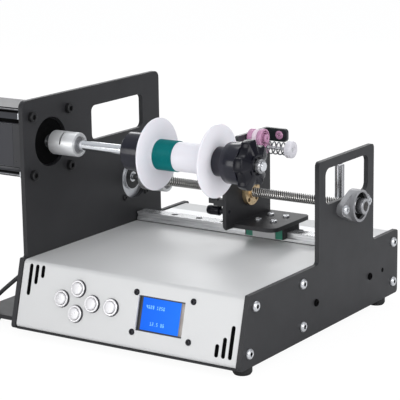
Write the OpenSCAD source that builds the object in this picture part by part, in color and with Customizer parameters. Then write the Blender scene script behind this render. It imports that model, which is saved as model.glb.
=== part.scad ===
// Wire coil winding machine: a motor spindle, a traversing wire guide and a sheet metal base.
// X runs along the spindle, Y to the rear and Z up. While drawn, X is zero on the left plate's
// inner face, Y at the base's front edge and Z at the plates' lower edge. The part stands on z = 0.

/* [Side plates] */
// Distance between the inner faces of the two side plates
inner_w = 208; // [196:1:230]
// Thickness of the side plates
plate_t = 4; // [3:0.5:6]
// Depth of the base
base_d = 252; // [246:1:280]
// Height of the base, without the feet
base_h = 55; // [50:1:64]
// How far the front edge leans back over the base's height
front_lean = 15; // [8:1:20]
// Corner radius at the foot of the side plates
foot_corner_r = 3; // [1:0.5:5]

/* [Left tower] */
// Front edge of the tower
tower_front = 20; // [17:0.5:24]
// Distance of the tower's rear edge from the base's rear edge
tower_rear_gap = 44.5; // [40:0.5:50]
// Height of the tower
tower_h = 180.5; // [176:0.5:200]
// Corner radius of the tower
tower_corner_r = 6; // [2:0.5:10]
// Bar left between the spindle motor and the handle window
handle_front_bar = 26.8; // [20:0.1:40]
// Height of the handle window
handle_h = 29; // [20:0.5:34]
// Bar left above the handle window
handle_bar = 16.7; // [12:0.1:20]
// Bar left behind the handle window
handle_rear_bar = 25.2; // [22:0.1:34]
// Corner radius of the handle window
handle_corner_r = 5; // [2:0.5:8]

/* [Right post] */
// Depth of the post
post_d = 90; // [80:0.5:96]
// Height of the post
post_h = 136; // [130:0.5:150]
// Corner radius of the post
post_corner_r = 3.5; // [2:0.5:8]
// Bar left on each side of the window
post_side_bar = 10; // [8:0.5:14]
// Bar left above the window
post_head_bar = 7; // [5:0.5:12]
// Height of the window
post_window_h = 29; // [20:0.5:33]
// Corner radius of the window
post_window_r = 6; // [2:0.5:8]

/* [Base sheets] */
// Thickness of the covers' and the bottom's sheet
sheet_t = 1.5; // [1:0.1:2]
// How far the covers lie below the edges of the side plates
cover_recess = 1; // [0.5:0.1:2]
// Outer radius of the bend above the front panel
cover_bend_r = 4; // [3:0.5:7]
// Outer radius of the bend at the foot of the front panel
lip_bend_r = 2.5; // [2.1:0.1:3.5]
// Depth of the lip at the foot of the front panel
lip_d = 12; // [8:1:20]
// Height of the folded side flanges below the top
flange_h = 14; // [10:1:18]
// Thickness of the rear deck
deck_t = 3; // [2:0.5:4]
// Depth of the rear deck
deck_d = 54; // [46:1:58]
// Narrow seam between two covers
seam = 0.4; // [0.3:0.1:0.8]
// Distance of the rear cover from the plates' rear edge
rear_inset = 4; // [3:0.5:10]
// Height of the folded side flanges of the bottom
tray_flange_h = 16; // [12:1:20]

/* [Foot plate and feet] */
// How far the foot plate reaches out to the left
outrigger_w = 50; // [40:1:70]
// Thickness of the foot plate
outrigger_t = 3.5; // [2:0.5:5]
// Height of the foot plate's leg on the left side plate
outrigger_leg_h = 18; // [14:1:24]
// Distance of the foot plate's ends from the base's ends
outrigger_end_gap = 17; // [12:1:24]
// Distance of the leg from the base's front edge
outrigger_leg_gap = 60; // [50:1:80]
// Height of the rubber feet
foot_h = 6; // [4:0.5:9]
// Radius of the rubber feet
foot_r = 7.5; // [6:0.5:9]
// Distance of the right feet from the right plate
foot_side_gap = 3.5; // [3:0.5:9]
// Distance of the front feet from the front edge
foot_front_gap = 16; // [14:0.5:22]
// Distance of the rear feet from the rear edge
foot_rear_gap = 24; // [18:0.5:30]

/* [Screws] */
// Shank radius of the side screws
side_screw_r = 2.2; // [1.5:0.1:2.6]
// Head radius of the side screws
side_head_r = 4.2; // [3.5:0.1:5]
// Head height of the side screws
side_head_h = 2.4; // [1.5:0.1:3]
// Height of the lower row of side screws
side_row_low = 11.3; // [8:0.1:13]
// Distance of the upper row of side screws from the top edge
side_row_gap = 9.5; // [8:0.5:13]
// Distance of the front pair from the sloping front edge
side_front_gap = 10; // [8:0.5:14]
// Place of the middle pair
side_middle_y = 92; // [80:0.5:105]
// Distance of the rear pair from the rear edge
side_rear_gap = 9; // [8:0.5:18]
// Clearance round a screw in its hole
screw_clear = 0.2; // [0.1:0.05:0.4]

/* [Front panel] */
// Width of a vent slot
vent_w = 3.5; // [2:0.1:4]
// Distance between two vent slots
vent_pitch = 6; // [5:0.1:8]
// Length of the longest vent slot
vent_len = 25.3; // [18:0.1:28]
// How much shorter the next slot is
vent_step = 9.6; // [4:0.1:10]
// Distance of the first left slot from the left plate
vent_left_gap = 8.2; // [6:0.1:12]
// Distance of the first right slot from the right plate
vent_right_gap = 6.6; // [6:0.1:12]
// Distance of the slots from the panel's edges
vent_edge_gap = 8.2; // [7:0.1:11]
// Place of the button diamond along the panel
button_x = 57.2; // [50:0.1:64]
// Place of the button diamond up the panel
button_v = 30.8; // [28:0.1:32]
// Half the width of the button diamond
button_dx = 14.8; // [11:0.1:16]
// Half the height of the button diamond
button_dv = 9.9; // [9.6:0.1:12]
// Distance of the single button from the diamond
button_far = 33; // [30:0.1:36]
// Outer radius of a button bezel
bezel_r = 7; // [6:0.1:7.3]
// Height of a button bezel above the panel
bezel_h = 2; // [1:0.1:3]
// Radius of a button cap
cap_r = 4.7; // [4:0.1:5]
// How far a button cap stands out of its bezel
cap_out = 1.4; // [1.2:0.1:2]
// Travel of a button
cap_travel = 1; // [0.5:0.1:1.1]
// Gap round a button cap
cap_clear = 0.3; // [0.2:0.05:0.5]
// Place of the display along the panel
display_x = 135.7; // [130:0.1:146]
// Place of the display up the panel
display_v = 30.6; // [29:0.1:32]
// Width of the display window
display_w = 42.6; // [36:0.1:48]
// Height of the display window
display_h = 27.2; // [22:0.1:32]
// Margin of the display frame round the window
display_margin = 8; // [6:0.5:9]
// Depth of the display frame behind the panel
display_d = 6; // [4:0.5:9]

/* [Spindle] */
// Distance of the spindle axis from the front edge
spindle_y = 54.5; // [54:0.5:60]
// Height of the spindle axis
spindle_z = 143.3; // [138:0.1:148]
// Radius of the spindle shaft
spindle_r = 4; // [3:0.1:4.5]
// Outer radius of the spindle coupling
coupling_r = 9.75; // [8:0.05:11]
// Length of the spindle coupling
coupling_len = 25; // [22:0.5:28]
// Gap between the left plate and the spindle coupling
coupling_gap = 4.4; // [3:0.1:8]
// Width of the slit in the spindle coupling
coupling_slit = 0.6; // [0.4:0.1:1.2]
// Place of the left hub's outer end
hub_x = 79; // [70:0.5:84]
// Radius of the left hub
left_hub_r = 15.2; // [12:0.1:17]
// Length of the left hub's body
left_hub_len = 24.6; // [18:0.1:28]
// Radius of the right hub's collar
right_hub_r = 15.8; // [12:0.1:17]
// Length of the right hub's collar
right_hub_len = 14.2; // [10:0.1:18]
// Radius of the right hub's neck
hub_neck_r = 11.4; // [10:0.1:13]
// Length of the right hub's neck
hub_neck_len = 10; // [6:0.1:12]
// Radius of the hub noses that carry the bobbin
hub_nose_r = 8; // [6:0.1:9]
// Length of the hub noses
hub_nose_len = 9; // [6:0.5:14]

/* [Bobbin] */
// Radius of the bobbin's flanges
bobbin_flange_r = 28.3; // [24:0.1:30]
// Thickness of the bobbin's flanges
bobbin_flange_t = 1.8; // [1.2:0.1:3]
// Radius of the bobbin's core
bobbin_core_r = 11.4; // [11:0.1:14]
// Distance between the bobbin's flanges
bobbin_space = 53.3; // [46:0.1:56]
// Radial clearance of the bobbin on the hub noses
bobbin_clear = 0.1; // [0.05:0.05:0.3]
// Distance of the winding from the left flange
winding_gap = 1.6; // [1:0.1:4]
// Width of the winding
winding_w = 18; // [14:0.5:24]
// Thickness of the winding below its outer layer
winding_bed = 0.2; // [0.2:0.1:1]
// Diameter of the wound thread
thread_d = 0.6; // [0.4:0.1:0.6]
// Turns in the outer layer
winding_turns = 16; // [8:1:16]

/* [Star knob] */
// Radius over the knob's lobes
star_r = 20.4; // [17:0.1:22]
// Number of lobes
star_lobes = 5; // [3:1:7]
// Radius of the hollows between the lobes
star_hollow_r = 9; // [6:0.5:12]
// How far the hollows cut in
star_hollow_depth = 4.4; // [2:0.1:6]
// Thickness of the knob at its rim
star_rim_t = 7.5; // [5:0.5:9]
// Thickness of the knob at its middle
star_t = 10.5; // [9:0.5:13]
// Gap between the knob and the right hub
star_gap = 0.3; // [0.2:0.1:0.6]
// Width across flats of the lock nut
lock_nut_w = 10; // [9:0.5:13]
// Height of the lock nut
lock_nut_h = 4; // [3:0.1:6]
// How far the spindle stands out of the lock nut
spindle_end = 1.4; // [0.5:0.1:4]

/* [Spindle motor] */
// Side of the spindle motor
main_motor_w = 56.4; // [54:0.1:57.5]
// Length of the spindle motor
main_motor_len = 76; // [70:1:100]
// Distance between the spindle motor's screws
main_bolt = 47.14; // [45:0.01:48]
// Width of the spindle motor's flats
main_flat = 34.5; // [30:0.5:38]
// Radius of the opening for the spindle motor
main_hole_r = 20; // [19.5:0.1:20.5]
// Radius of the spindle motor's pilot
main_pilot_r = 19.05; // [17:0.05:19.2]
// Height of the spindle motor's pilot
main_pilot_h = 1.6; // [1:0.1:2.4]
// Radius of the spindle motor's shaft
main_shaft_r = 3.175; // [2.5:0.005:3.5]

/* [Lead screw] */
// Distance of the lead screw in front of the rail
lead_rail_gap = 6.5; // [4:0.5:9]
// Height of the lead screw
lead_z = 92.7; // [90:0.1:95]
// Radius of the lead screw
lead_r = 4; // [3.5:0.1:4.2]
// Radial clearance of the lead screw in its nut
lead_clear = 0.08; // [0.02:0.01:0.1]
// Radius of the lead screw coupling
lead_coupling_r = 9.5; // [8:0.1:10.5]
// Length of the lead screw coupling
lead_coupling_len = 25; // [22:0.5:27]
// Distance of the lead screw coupling from the left plate
lead_coupling_gap = 9.5; // [8:0.5:13]
// Distance of the flange bearing's bolts
bearing_bolt = 37; // [35:0.1:39]
// Radius of the flange bearing's boss
bearing_boss_r = 13; // [12:0.1:14]
// Thickness of the flange bearing's base
bearing_base_t = 4.8; // [4:0.1:6]
// Height of the flange bearing's boss
bearing_boss_h = 9.2; // [8:0.1:11]
// Height of the flange bearing with its insert
bearing_h = 13.4; // [12:0.1:15]
// Radius of the bearing's turning insert
bearing_insert_r = 6.5; // [6:0.1:7]
// Gap round the turning insert
bearing_clear = 0.3; // [0.2:0.05:0.5]

/* [Traverse motor] */
// Side of the traverse motor
small_motor_w = 42.3; // [40:0.1:43]
// Length of the traverse motor
small_motor_len = 40; // [34:1:60]
// Distance between the traverse motor's screws
small_bolt = 31; // [30:0.1:32]
// Radius of the opening for the traverse motor
small_hole_r = 18.6; // [17:0.1:19]
// Radius of the traverse motor's pilot
small_pilot_r = 11; // [9:0.1:12]
// Height of the traverse motor's pilot
small_pilot_h = 2; // [1:0.1:3]
// Radius of the traverse motor's shaft
small_shaft_r = 2.5; // [2:0.1:3]

/* [Rail and carriage] */
// Distance of the rail from the base's rear edge
rail_rear_gap = 76.5; // [72:0.5:80]
// Width of the rail
rail_w = 12; // [11:0.5:13]
// Height of the rail
rail_h = 8; // [7:0.5:9]
// Distance between the holes of the rail
rail_pitch = 25; // [20:1:30]
// Gap between the rail and the side plates
rail_end_gap = 1; // [0.5:0.5:4]
// Distance of the rail's first hole from the left plate
rail_first_hole = 11.7; // [9:0.1:18]
// Place of the rail block's middle at rest
carriage_x = 134.5; // [130:0.5:140]
// Length of the rail block
block_len = 34.7; // [32:0.1:36]
// Length of each end cap of the rail block
block_cap_len = 6.5; // [5:0.1:8]
// Width of the rail block
block_w = 27; // [24:0.5:28]
// Height of the rail block's top above the deck
block_top = 13; // [12.5:0.1:14]
// Gap below the rail block
block_lift = 3; // [2:0.1:4]
// Running gap between the rail and its block
block_clear = 0.3; // [0.2:0.05:0.5]
// Distance of the block's screws along the rail
block_bolt_x = 15; // [13:0.5:16]
// Distance of the block's screws across the rail
block_bolt_y = 20; // [18:0.5:21]
// Thickness of the carriage bracket
bracket_t = 3.5; // [3:0.5:4.5]
// Reach of the bracket's upright in front of the rail
bracket_fore = 42.5; // [40:0.5:45]
// Reach of the bracket behind the rail
bracket_aft = 27; // [24:0.5:28]
// Height of the bracket's upright above its foot
bracket_h = 55; // [50:0.5:57]
// Width of the bracket's foot
bracket_foot_w = 42.5; // [40:0.5:52]
// Reach of the bracket to the right of the block's middle
bracket_right = 21; // [20:0.5:28]
// Gap between the fronts of the upright and the foot
bracket_step = 10.5; // [2:0.5:12]
// Corner radius of the bracket
bracket_corner_r = 8; // [4:0.5:10]
// Radius of the brass nut's flange
nut_flange_r = 11; // [9:0.1:11.5]
// Thickness of the brass nut's flange
nut_flange_t = 3.5; // [3:0.1:5]
// Radius of the brass nut's body
nut_body_r = 5.1; // [4.8:0.1:6]
// Length of the brass nut's body
nut_body_len = 10; // [8:0.5:15]

/* [Tensioner] */
// Thickness of the tensioner's angle plate
arm_t = 3; // [2:0.5:4]
// Reach of the tensioner's angle plate in front of the rail
arm_fore = 29; // [26:0.5:32]
// Top edge of the tensioner's angle plate
arm_top = 143; // [140:0.5:146]
// Reach of the tensioner's angle plate behind the rail
arm_aft = 20.5; // [18:0.5:23]
// Length of the angle plate's nose
arm_nose_len = 15; // [12:0.5:18]
// Height of the angle plate's nose
arm_nose_h = 5; // [4:0.5:7]
// Corner radius of the angle plate
arm_corner_r = 3; // [1:0.5:4]
// Overlap of the angle plate and the upright
arm_lap = 14; // [10:0.5:18]
// Reach of the angle plate's rear flange to the right
arm_reach = 22; // [20:0.5:24]
// Height of the angle plate's rear flange
arm_flange_h = 11; // [10:0.5:13]
// Distance of the guide pulley in front of the rail
pulley_rail_gap = 9.5; // [8.5:0.5:11]
// Height of the guide pulley
pulley_z = 139.6; // [138:0.1:141]
// Radius of the guide pulley
pulley_r = 7.8; // [6:0.1:7.9]
// Width of the guide pulley
pulley_w = 14; // [12:0.5:15]
// Radius of the guide pulley's axle
pulley_axle_r = 2; // [1.5:0.1:2.5]
// Distance of the tension screw behind the rail
tension_rail_gap = 0.5; // [0:0.5:2]
// Height of the tension screw
tension_z = 130.2; // [129.5:0.1:131]
// Radius of the tension screw
tension_r = 1.5; // [1.2:0.1:1.8]
// Radius of the pressure discs
disc_r = 5.4; // [4.5:0.1:5.5]
// Place of the pressure discs right of the angle plate
disc_gap = 8; // [7:0.5:10]
// Mean radius of the tension spring
spring_r = 5; // [4:0.1:5]
// Wire diameter of the tension spring
spring_wire_d = 1; // [0.8:0.1:1.1]
// Length of the tension spring
spring_len = 19; // [16:0.5:20]
// Curls of the tension spring
spring_curls = 4; // [3:1:5]
// Radius of the thumb nut
thumb_r = 7; // [6:0.1:8]
// Thickness of the thumb nut
thumb_t = 6; // [5:0.5:8]
// Radius of the guide eyelet
eyelet_r = 3.6; // [3:0.1:4]
// Radius of the eyelet's hole
eyelet_hole_r = 1.4; // [1:0.1:1.8]
// Radius of the clamp knob
clamp_r = 4; // [3:0.1:4.5]
// Length of the clamp knob's grip
clamp_len = 12; // [9:0.5:14]

/* [Post and cable] */
// Radius of the guide post
guide_post_r = 4; // [3:0.1:5]
// Height of the guide post above the deck
guide_post_h = 60; // [50:1:70]
// Distance of the guide post from the right plate
guide_post_side_gap = 31; // [20:1:48]
// Distance of the guide post from the deck's rear edge
guide_post_rear_gap = 10; // [7:0.5:12]
// Diameter of the motor cable
cable_d = 3.5; // [3:0.1:4]

/* [Hidden] */
$fn = 48;

// Overrun of every cut past the face it opens
cut = 1;
// Close gap between pieces that sit against each other
seat = 0.05;
// Steps in one rounded corner of a sheet
corner_steps = 6;

// Origin of the part: the middle of its footprint
mid_x = (inner_w + bearing_h - main_motor_len) / 2;

// Base
tower_rear = base_d - tower_rear_gap;
post_front = tower_rear - post_d;
rail_y = base_d - rail_rear_gap;
lead_y = rail_y - lead_rail_gap;
handle_front = spindle_y + main_motor_w / 2 + handle_front_bar;
lean_angle = atan2(front_lean, base_h);
foot_reach = foot_corner_r * (1 / tan((90 - lean_angle) / 2) - 1);
mid_y = (base_d + foot_reach) / 2;
panel_len = norm([front_lean, base_h]);
cover_top = base_h - cover_recess;
deck_front = rail_y - rail_w / 2;
cover_rear = deck_front - seam;
deck_rear = deck_front + deck_d;
rear_face = base_d - rear_inset;
guide_post_x = inner_w - guide_post_side_gap;
guide_post_y = deck_rear - guide_post_rear_gap;
tower_step_r = (tower_front - front_lean) / 2;

// Spindle
bobbin_x = hub_x + left_hub_len;
bobbin_len = bobbin_space + 2 * bobbin_flange_t;
right_hub_x = bobbin_x + bobbin_len;
star_x = right_hub_x + hub_neck_len + right_hub_len + star_gap;
lock_nut_x = star_x + star_t + star_gap;
spindle_stop = lock_nut_x + lock_nut_h + spindle_end;
winding_x = bobbin_x + bobbin_flange_t + winding_gap;

// Carriage
rail_top = cover_top + rail_h;
bracket_foot_z = cover_top + block_top;
bracket_front = rail_y - bracket_fore;
bracket_rear = rail_y + bracket_aft;
bracket_x = carriage_x + bracket_right - bracket_foot_w;
arm_front = rail_y - arm_fore;
arm_rear = rail_y + arm_aft;
pulley_y = rail_y - pulley_rail_gap;
tension_y = rail_y + tension_rail_gap;
upright_x = bracket_x + bracket_t;
arm_x = upright_x;
bracket_top = bracket_foot_z + bracket_h;
disc_x = arm_x + arm_t + disc_gap;
disc_t = 1.2;
spring_x = disc_x + 2 * disc_t + seat;
thumb_x = spring_x + spring_len + seat;
pulley_x = arm_x + arm_t + 0.8 * seam;

// Places of the five buttons on the panel
button_places = [
    [button_x, button_v + button_dv],
    [button_x - button_dx, button_v],
    [button_x + button_dx, button_v],
    [button_x, button_v - button_dv],
    [button_x + button_far, button_v]];

// Route of the motor cable, chosen by hand
cable_route = [
    [-73, 58, 108], [-73, 58, 98], [-73, 57, 86], [-73.5, 56, 74], [-74, 54, 62], [-75, 52, 50],
    [-75.5, 49.5, 38], [-75, 46.5, 27], [-72, 43.5, 17], [-66, 40.5, 10.5], [-58, 37, 8], [-50.5, 34.5,
    9.5],
    [-43.5, 32.5, 14], [-36, 31.5, 20], [-28, 31.5, 26.5], [-20, 32, 33], [-12, 33, 39], [-4, 34, 42.5],
    [4, 35, 43.5], [12, 37, 42], [19.5, 40, 38], [26, 44, 32], [31, 48.5, 25.5], [35, 53, 19.8],
    [37.8, 57.8, 16], [39.2, 62.9, 14.2]];

function unit(v) = v / norm(v);

// Arc that rounds one corner of an outline
function corner(before, at, after, r) =
    let (u = unit(before - at), w = unit(after - at), half = acos(u * w) / 2,
        start = at + u * r / tan(half), stop = at + w * r / tan(half),
        centre = at + unit(u + w) * r / sin(half),
        a0 = atan2(start.y - centre.y, start.x - centre.x),
        a1 = atan2(stop.y - centre.y, stop.x - centre.x),
        turn = (a1 - a0 + 540) % 360 - 180)
    [for (i = [0 : corner_steps])
        centre + r * [cos(a0 + turn * i / corner_steps), sin(a0 + turn * i / corner_steps)]];

function flat(p) = [p.x, p.y];

// Outline through points of the form [across, up, corner radius]
function rounded(pts) = let (n = len(pts))
    [for (i = [0 : n - 1]) each pts[i][2] == 0 ? [flat(pts[i])]
        : corner(flat(pts[(i + n - 1) % n]), flat(pts[i]), flat(pts[(i + 1) % n]), pts[i][2])];

// Rectangle with rounded corners as an outline
function frame(a0, b0, a1, b1, r) = [[a0, b0, r], [a1, b0, r], [a1, b1, r], [a0, b1, r]];

// Y of the sloping front at height z, a distance d behind the plates' front edge
function slope_y(z, d) = (z * sin(lean_angle) + d) / cos(lean_angle);

// Direction of a path at point i
function path_dir(path, i) = unit(path[min(i + 1, len(path) - 1)] - path[max(i - 1, 0)]);

// Points of a round tube along a path that never takes the direction ref
function tube_points(path, r, sides, ref) =
    [for (i = [0 : len(path) - 1]) let (t = path_dir(path, i), n = unit(cross(ref, t)), b = cross(t, n))
        for (k = [0 : sides - 1]) path[i] + r * (cos(360 * k / sides) * n + sin(360 * k / sides) * b)];

function tube_faces(rings, sides) = concat(
    [for (i = [0 : rings - 2], k = [0 : sides - 1]) let (a = i * sides + k, b = i * sides + (k + 1) % sides)
        each [[a, b + sides, b], [a, a + sides, b + sides]]],
    [for (k = [1 : sides - 2]) [0, k, k + 1]],
    [for (k = [1 : sides - 2]) let (e = (rings - 1) * sides) [e, e + k + 1, e + k]]);

module tube(path, d, sides, ref)
    polyhedron(tube_points(path, d / 2, sides, ref), tube_faces(len(path), sides));

// Turns about a line along X, with short straight ends
function turns_path(x, y, z, r, len, turns, rings, d) =
    let (n = turns * rings,
        body = [for (i = [0 : n]) let (a = 360 * i / rings)
            [x + len * i / n, y + r * cos(a), z + r * sin(a)]],
        first = unit(body[0] - body[1]), last = unit(body[n] - body[n - 1]))
    concat([body[0] + d * first], body, [body[n] + d * last]);

// Least gap of a tube to itself beyond half a turn
function least_gap(path, rings, d) =
    min([for (i = [0 : len(path) - 1], j = [i + rings / 2 : len(path) - 1]) norm(path[i] - path[j])]) - d;

// Smooth curve through the points of a route
function blend(a, b, c, e, t) =
    0.5 * (2 * b + (c - a) * t + (2 * a - 5 * b + 4 * c - e) * t * t + (3 * b - a - 3 * c + e) * t * t * t);
function smooth(p, steps) = let (n = len(p)) concat(
    [for (i = [0 : n - 2], s = [0 : steps - 1])
        blend(p[max(i - 1, 0)], p[i], p[i + 1], p[min(i + 2, n - 1)], s / steps)], [p[n - 1]]);

module placed() {
    translate([-mid_x, -mid_y, foot_h]) children();
}

module yz_sheet(x, t, pts) {
    translate([x, 0, 0]) rotate([90, 0, 90]) linear_extrude(t) polygon(rounded(pts));
}

module xz_sheet(y, t, pts) {
    translate([0, y + t, 0]) rotate([90, 0, 0]) linear_extrude(t) polygon(rounded(pts));
}

module xy_sheet(z, t, pts) {
    translate([0, 0, z]) linear_extrude(t) polygon(rounded(pts));
}

module x_rod(x, len, r, y, z) {
    translate([x, y, z]) rotate([0, 90, 0]) cylinder(h = len, r = r);
}

module z_rod(x, y, z, h, r) {
    translate([x, y, z]) cylinder(h = h, r = r);
}

// Turned piece about a line along X, from [radius, distance] points
module x_turned(x, y, z, profile) {
    translate([x, y, z]) rotate([0, 90, 0]) rotate_extrude() polygon(profile);
}

// Axes of the front panel
module on_panel() {
    rotate([90 - lean_angle, 0, 0]) children();
}

// Four places on a square round a middle
module square_places(y, z, side) {
    for (sy = [-1, 1], sz = [-1, 1]) translate([0, y + sy * side / 2, z + sz * side / 2]) children();
}

// Side screws: front, middle and rear pair
module side_screw_places() {
    upper = base_h - side_row_gap;
    for (z = [side_row_low, upper]) {
        translate([0, slope_y(z, side_front_gap), z]) children();
        translate([0, side_middle_y, z]) children();
        translate([0, base_d - side_rear_gap, z]) children();
    }
}

// Hole through a side plate whose left face is at x
module plate_hole(x, r, y, z) {
    x_rod(x - cut, plate_t + 2 * cut, r, y, z);
}

module side_holes(x) {
    side_screw_places() plate_hole(x, side_screw_r + screw_clear, 0, 0);
}

base_front = [[0, 0, foot_corner_r], [base_d, 0, foot_corner_r], [base_d, base_h, foot_corner_r]];

main_screw_r = 2.4;
small_screw_r = 1.5;
grommet_y = 34;
grommet_z = 42.7;
grommet_r = 4.5;
grommet_lip = 1.1;

module left_plate() color([0.16, 0.16, 0.17]) difference() {
    yz_sheet(-plate_t, plate_t, concat(base_front, [
        [tower_rear, base_h, foot_corner_r],
        [tower_rear, tower_h, tower_corner_r],
        [tower_front, tower_h, tower_corner_r],
        [tower_front, base_h, tower_step_r / 2],
        [front_lean, base_h, tower_step_r / 2]]));
    yz_sheet(-plate_t - cut, plate_t + 2 * cut, frame(
        handle_front, tower_h - handle_bar - handle_h,
        tower_rear - handle_rear_bar, tower_h - handle_bar, handle_corner_r));
    plate_hole(-plate_t, main_hole_r, spindle_y, spindle_z);
    square_places(spindle_y, spindle_z, main_bolt)
        plate_hole(-plate_t, main_screw_r + screw_clear, 0, 0);
    plate_hole(-plate_t, small_hole_r, lead_y, lead_z);
    square_places(lead_y, lead_z, small_bolt)
        plate_hole(-plate_t, small_screw_r + screw_clear, 0, 0);
    plate_hole(-plate_t, grommet_r, grommet_y, grommet_z);
    side_holes(-plate_t);
}

lead_hole_r = lead_r + 3 * screw_clear;
bearing_screw_r = 2.3;

module right_plate() color([0.16, 0.16, 0.17]) difference() {
    yz_sheet(inner_w, plate_t, concat(base_front, [
        [tower_rear, base_h, foot_corner_r],
        [tower_rear, post_h, post_corner_r],
        [post_front, post_h, post_corner_r],
        [post_front, base_h, foot_corner_r],
        [front_lean, base_h, 0]]));
    yz_sheet(inner_w - cut, plate_t + 2 * cut, frame(
        post_front + post_side_bar, post_h - post_head_bar - post_window_h,
        tower_rear - post_side_bar, post_h - post_head_bar, post_window_r));
    plate_hole(inner_w, lead_hole_r, lead_y, lead_z);
    for (s = [-1, 1])
        plate_hole(inner_w, bearing_screw_r, lead_y + s * bearing_bolt / 2, lead_z);
    side_holes(inner_w);
}

// Slot with round ends, up the panel
module vent_slot(x, v, len) {
    through = [vent_w, len - vent_w, 2 * (sheet_t + cover_recess + cut)];
    translate([x, v + len / 2, 0]) cube(through, center = true);
    for (s = [-1, 1])
        translate([x, v + len / 2 + s * (len - vent_w) / 2, 0]) cylinder(h = through.z, r = vent_w / 2,
            center = true);
}

barrel_r = bezel_r - 1.2 * bezel_h / 2;
barrel_len = 3 * bezel_h + 10 * cap_travel;

module front_cover() color([0.66, 0.67, 0.69]) difference() {
    inner = cover_recess + sheet_t;
    union() {
        yz_sheet(seam, inner_w - 2 * seam, [
            [slope_y(2 * sheet_t, inner) + lip_d, sheet_t, 0],
            [slope_y(sheet_t, cover_recess), sheet_t, lip_bend_r],
            [slope_y(cover_top, cover_recess), cover_top, cover_bend_r],
            [cover_rear, cover_top, 0],
            [cover_rear, cover_top - sheet_t, 0],
            [slope_y(cover_top - sheet_t, inner), cover_top - sheet_t, cover_bend_r - sheet_t],
            [slope_y(2 * sheet_t, inner), 2 * sheet_t, lip_bend_r - sheet_t],
            [slope_y(2 * sheet_t, inner) + lip_d, 2 * sheet_t, 0]]);
        for (x = [seam, inner_w - seam - sheet_t])
            translate([x, front_lean + cover_bend_r, cover_top - sheet_t - flange_h])
                cube([sheet_t, cover_rear - front_lean - cover_bend_r, flange_h + sheet_t / 2]);
    }
    on_panel() {
        for (i = [0 : 2]) {
            long = vent_len - i * (1.2 - 0.2 * i) * vent_step;
            vent_slot(vent_left_gap + i * vent_pitch, panel_len - 0.37 * vent_edge_gap - long, long);
            vent_slot(inner_w - vent_right_gap - i * vent_pitch, vent_edge_gap, long);
        }
        for (p = button_places)
            translate([p.x, p.y, -inner - cut]) cylinder(h = inner + 2 * cut, r = barrel_r + seat);
        translate([display_x, display_v, 0])
            cube([display_w, display_h, 2 * (inner + cut)], center = true);
    }
    x_rod(seam - cut, sheet_t + 2 * cut, grommet_r + grommet_lip + 2 * screw_clear, grommet_y, grommet_z);
    for (x = [seam - cut, inner_w - seam - sheet_t - cut], y = [slope_y(base_h - side_row_gap,
        side_front_gap), side_middle_y])
        x_rod(x, sheet_t + 2 * cut, side_screw_r + screw_clear, y, base_h - side_row_gap);
}

module deck_plate() color([0.82, 0.83, 0.84]) difference() {
    union() {
        translate([seam, deck_front, cover_top - deck_t]) cube([inner_w - 2 * seam, deck_d, deck_t]);
        for (x = [seam, inner_w - seam - deck_t])
            translate([x, deck_front, cover_top - deck_t - flange_h]) cube([deck_t, deck_d,
                flange_h + deck_t / 2]);
    }
    z_rod(guide_post_x, guide_post_y, cover_top - deck_t - cut, deck_t + 2 * cut, guide_post_r / 2);
}

inlet_x = 52;
switch_x = 84;
rear_row_z = base_h / 2;
inlet_hole_r = 6;
switch_w = 13;
switch_h = 19;

module rear_cover() color([0.66, 0.67, 0.69]) difference() {
    union() {
        yz_sheet(seam, inner_w - 2 * seam, [
            [deck_rear + seam, cover_top - sheet_t, 0],
            [rear_face - sheet_t, cover_top - sheet_t, lip_bend_r - sheet_t],
            [rear_face - sheet_t, sheet_t, 0],
            [rear_face, sheet_t, 0],
            [rear_face, cover_top, lip_bend_r],
            [deck_rear + seam, cover_top, 0]]);
        for (x = [seam, inner_w - seam - sheet_t])
            translate([x, deck_rear + seam, sheet_t + tray_flange_h])
                cube([sheet_t, rear_face - sheet_t / 2 - deck_rear - seam,
                    cover_top - 1.5 * sheet_t - tray_flange_h]);
    }
    translate([inlet_x, rear_face + cut, rear_row_z]) rotate([90, 0, 0])
        cylinder(h = sheet_t + 2 * cut, r = inlet_hole_r);
    translate([switch_x - switch_w / 2, rear_face - sheet_t - cut, rear_row_z - switch_h / 2])
        cube([switch_w, sheet_t + 2 * cut, switch_h]);
    for (i = [0 : 9])
        translate([inner_w / 2 + i * vent_pitch, rear_face - sheet_t - cut, base_h / 4])
            cube([vent_w, sheet_t + 2 * cut, base_h / 2]);
    for (x = [seam - cut, inner_w - seam - sheet_t - cut])
        x_rod(x, sheet_t + 2 * cut, side_screw_r + screw_clear, base_d - side_rear_gap,
            base_h - side_row_gap);
}

tray_front = foot_corner_r - seam;

module bottom_plate() color([0.5, 0.5, 0.52]) difference() {
    union() {
        translate([seam, tray_front, 0]) cube([inner_w - 2 * seam, rear_face - tray_front, sheet_t]);
        for (x = [seam, inner_w - seam - sheet_t])
            translate([x, tray_front + lip_d + lip_bend_r, 0])
                cube([sheet_t, rear_face - sheet_t - seam - tray_front - lip_d - lip_bend_r,
                    tray_flange_h]);
    }
    for (x = [seam - cut, inner_w - seam - sheet_t - cut], y = [side_middle_y, base_d - side_rear_gap])
        x_rod(x, sheet_t + 2 * cut, side_screw_r + screw_clear, y, side_row_low);
}

outrigger_end = base_d - outrigger_end_gap;

module outrigger_plate() color([0.16, 0.16, 0.17]) difference() {
    union() {
        xy_sheet(0, outrigger_t, [
            [-plate_t, outrigger_end_gap, 0], [-plate_t, outrigger_end, 0],
            [-plate_t - outrigger_w, outrigger_end, tower_corner_r],
            [-plate_t - outrigger_w, outrigger_end_gap, tower_corner_r]]);
        translate([-plate_t - outrigger_t, outrigger_leg_gap, 0])
            cube([outrigger_t, outrigger_end - outrigger_leg_gap, outrigger_leg_h]);
    }
    side_screw_places() x_rod(-plate_t - outrigger_t - cut, outrigger_t + 2 * cut,
        side_head_r + screw_clear, 0, 0);
}

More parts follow.
